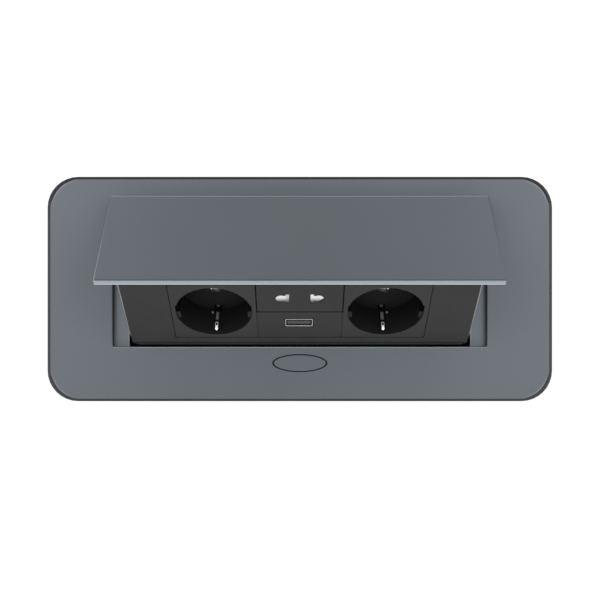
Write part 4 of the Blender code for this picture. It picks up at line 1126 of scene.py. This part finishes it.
def dressNode(name, node):
    # a merged copy of the node, with its small edges rounded and its curves shaded smooth
    mesh = node.data.copy()
    mesh.name = f"{name}Fine"
    work = bmesh.new()
    work.from_mesh(mesh)
    bmesh.ops.remove_doubles(work, verts=work.verts, dist=dressing["merge"])
    work.to_mesh(mesh)
    whole = triangleArea(mesh)
    flat = {"angle_limit": math.radians(dressing["flatWithin"]), "delimit": {"NORMAL"}}
    merged = work.copy()
    bmesh.ops.dissolve_limit(merged, verts=merged.verts, edges=merged.edges, **flat)
    merged.to_mesh(mesh)
    merged.free()
    if name in dressing["windowed"] or abs(triangleArea(mesh) / whole - 1) > dressing["areaWithin"]:
        # a face with a window in it doesn't merge well, so its triangles are only paired
        pairs = {"angle_face_threshold": dressing["pairFace"], "angle_shape_threshold": dressing["pairShape"]}
        bmesh.ops.join_triangles(work, faces=work.faces, **pairs)
        work.to_mesh(mesh)
        print("paired triangles:", name)
    work.free()
    mesh.materials.clear()
    mesh.materials.append(finishes[finishFor(name)])
    mesh.shade_smooth()
    mesh.set_sharp_from_angle(angle=math.radians(dressing["sharp"]))
    piece = bpy.data.objects.new(f"{name}Fine", mesh)
    bpy.context.scene.collection.objects.link(piece)
    width = next((width for end, width in bevels.items() if name.endswith(end)), None)
    if width:
        edge = piece.modifiers.new("softEdge", "BEVEL")
        edge.width = width * mm
        edge.segments = 2
        edge.limit_method = "ANGLE"
        edge.angle_limit = math.radians(dressing["bevelFrom"])
        edge.use_clamp_overlap = True
        edge.harden_normals = False
        even = piece.modifiers.new("evenShading", "WEIGHTED_NORMAL")
        even.keep_sharp = True
    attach(piece, node["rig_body"])
    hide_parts(name)


# nodes whose names start so are drawn again from their own values
remade = ("torsion_spring", "button_spring", "cable_gland", "earth_clip")
nodeNames = sorted(frame["nodes"])
screwNames = [name for name in nodeNames if "_screw_" in name]
plainNames = [name for name in nodeNames if "_screw_" not in name and not name.startswith(remade)]
for nodeName in plainNames:
    dressNode(nodeName, frame["nodes"][nodeName])
print("dressed nodes:", len(plainNames))

for sideName, sideSign in sides:
    addTorsionSpring(sideName, sideSign)
    addEarthStrap(sideName, sideSign)
addReturnSpring()
addGland()
addPortContacts()
for sideName, sideSign in sides:
    addPinLip(sideName, sideSign)
for sideName, sideSign in sides:
    addSeamFill(sideName, sideSign)
addFootBead()
print("springs, straps, gland, contacts and lips made")

for nodeName in screwNames:
    addScrew(nodeName)
print("screws:", len(screwNames))

studio = {
    "floorSize": 6.0,
    "floorWhite": 0.86,
    "floorRoughness": 0.9,
    "seenWhite": 0.88,  # how much of the floor that the camera sees is plain white
    "seenStrength": 1.06,
    "worldStrength": 0.62,
    "aim": (0, 0, 0.07),
    # place, size and power of each lamp
    "frontSoftbox": ((0.0, -1.1, 0.9), (1.6, 0.8), 7.0),
    "leftSoftbox": ((-0.85, 0.25, 0.95), (0.8, 1.4), 8.5),
    "rightSoftbox": ((0.85, 0.25, 0.95), (0.8, 1.4), 8.5),
    "cameraAt": (0.1, -6.1, 548.6),
    "lens": 52.35,
    "sensor": 36,
    "nearest": 0.01,
}


def makeFloor():
    # a pale sheet under the part, which keeps its shadow and looks white to the camera
    half = studio["floorSize"] / 2
    mesh = bpy.data.meshes.new("paleFloor")
    corners = [(-half, -half, 0), (half, -half, 0), (half, half, 0), (-half, half, 0)]
    mesh.from_pydata(corners, [], [(0, 1, 2, 3)])
    floor = bpy.data.objects.new("paleFloor", mesh)
    bpy.context.scene.collection.objects.link(floor)
    made = Board("paleFloor")
    made.set("Base Color", (*[studio["floorWhite"]] * 3, 1))
    made.set("Roughness", studio["floorRoughness"])
    light = made.node("ShaderNodeEmission", {}, {"Color": (1, 1, 1, 1), "Strength": studio["seenStrength"]})
    rays = made.node("ShaderNodeLightPath").socket.node.outputs
    seen = Wire(made, rays["Is Camera Ray"])
    for other in ("Is Glossy Ray", "Is Transmission Ray"):
        seen = seen.atLeast(Wire(made, rays[other]))
    plain = Wire(made, made.shader.outputs[0])
    mixed = made.node("ShaderNodeMixShader", {}, {0: seen * studio["seenWhite"], 1: plain, 2: light})
    made.tree.links.new(mixed.socket, made.tree.nodes["Material Output"].inputs["Surface"])
    mesh.materials.append(made.material)


def addLamp(name):
    # a rectangular lamp that points at the part
    place, size, power = studio[name]
    lamp = bpy.data.lights.new(name, "AREA")
    lamp.shape = "RECTANGLE"
    lamp.size, lamp.size_y = size
    lamp.energy = power
    holder = bpy.data.objects.new(name, lamp)
    bpy.context.scene.collection.objects.link(holder)
    holder.location = place
    ahead = Vector(studio["aim"]) - Vector(place)
    holder.rotation_euler = ahead.to_track_quat("-Z", "Y").to_euler()


makeFloor()
for lampName in ("frontSoftbox", "leftSoftbox", "rightSoftbox"):
    addLamp(lampName)

world = bpy.data.worlds.new("paleRoom")
bpy.context.scene.world = world
room = Board("paleRoom", world)
seenByCamera = room.node("ShaderNodeLightPath", out="Is Camera Ray")
room.set("Color", (1, 1, 1, 1))
extra = studio["seenStrength"] - studio["worldStrength"]
room.set("Strength", seenByCamera * extra + studio["worldStrength"])

eye = bpy.data.cameras.new("overhead")
eye.lens = studio["lens"]
eye.sensor_width = studio["sensor"]
eye.clip_start = studio["nearest"]
camera = bpy.data.objects.new("overhead", eye)
bpy.context.scene.collection.objects.link(camera)
camera.location = [place * mm for place in studio["cameraAt"]]
bpy.context.scene.camera = camera
bpy.context.scene.view_settings.view_transform = "Standard"
print("studio ready")
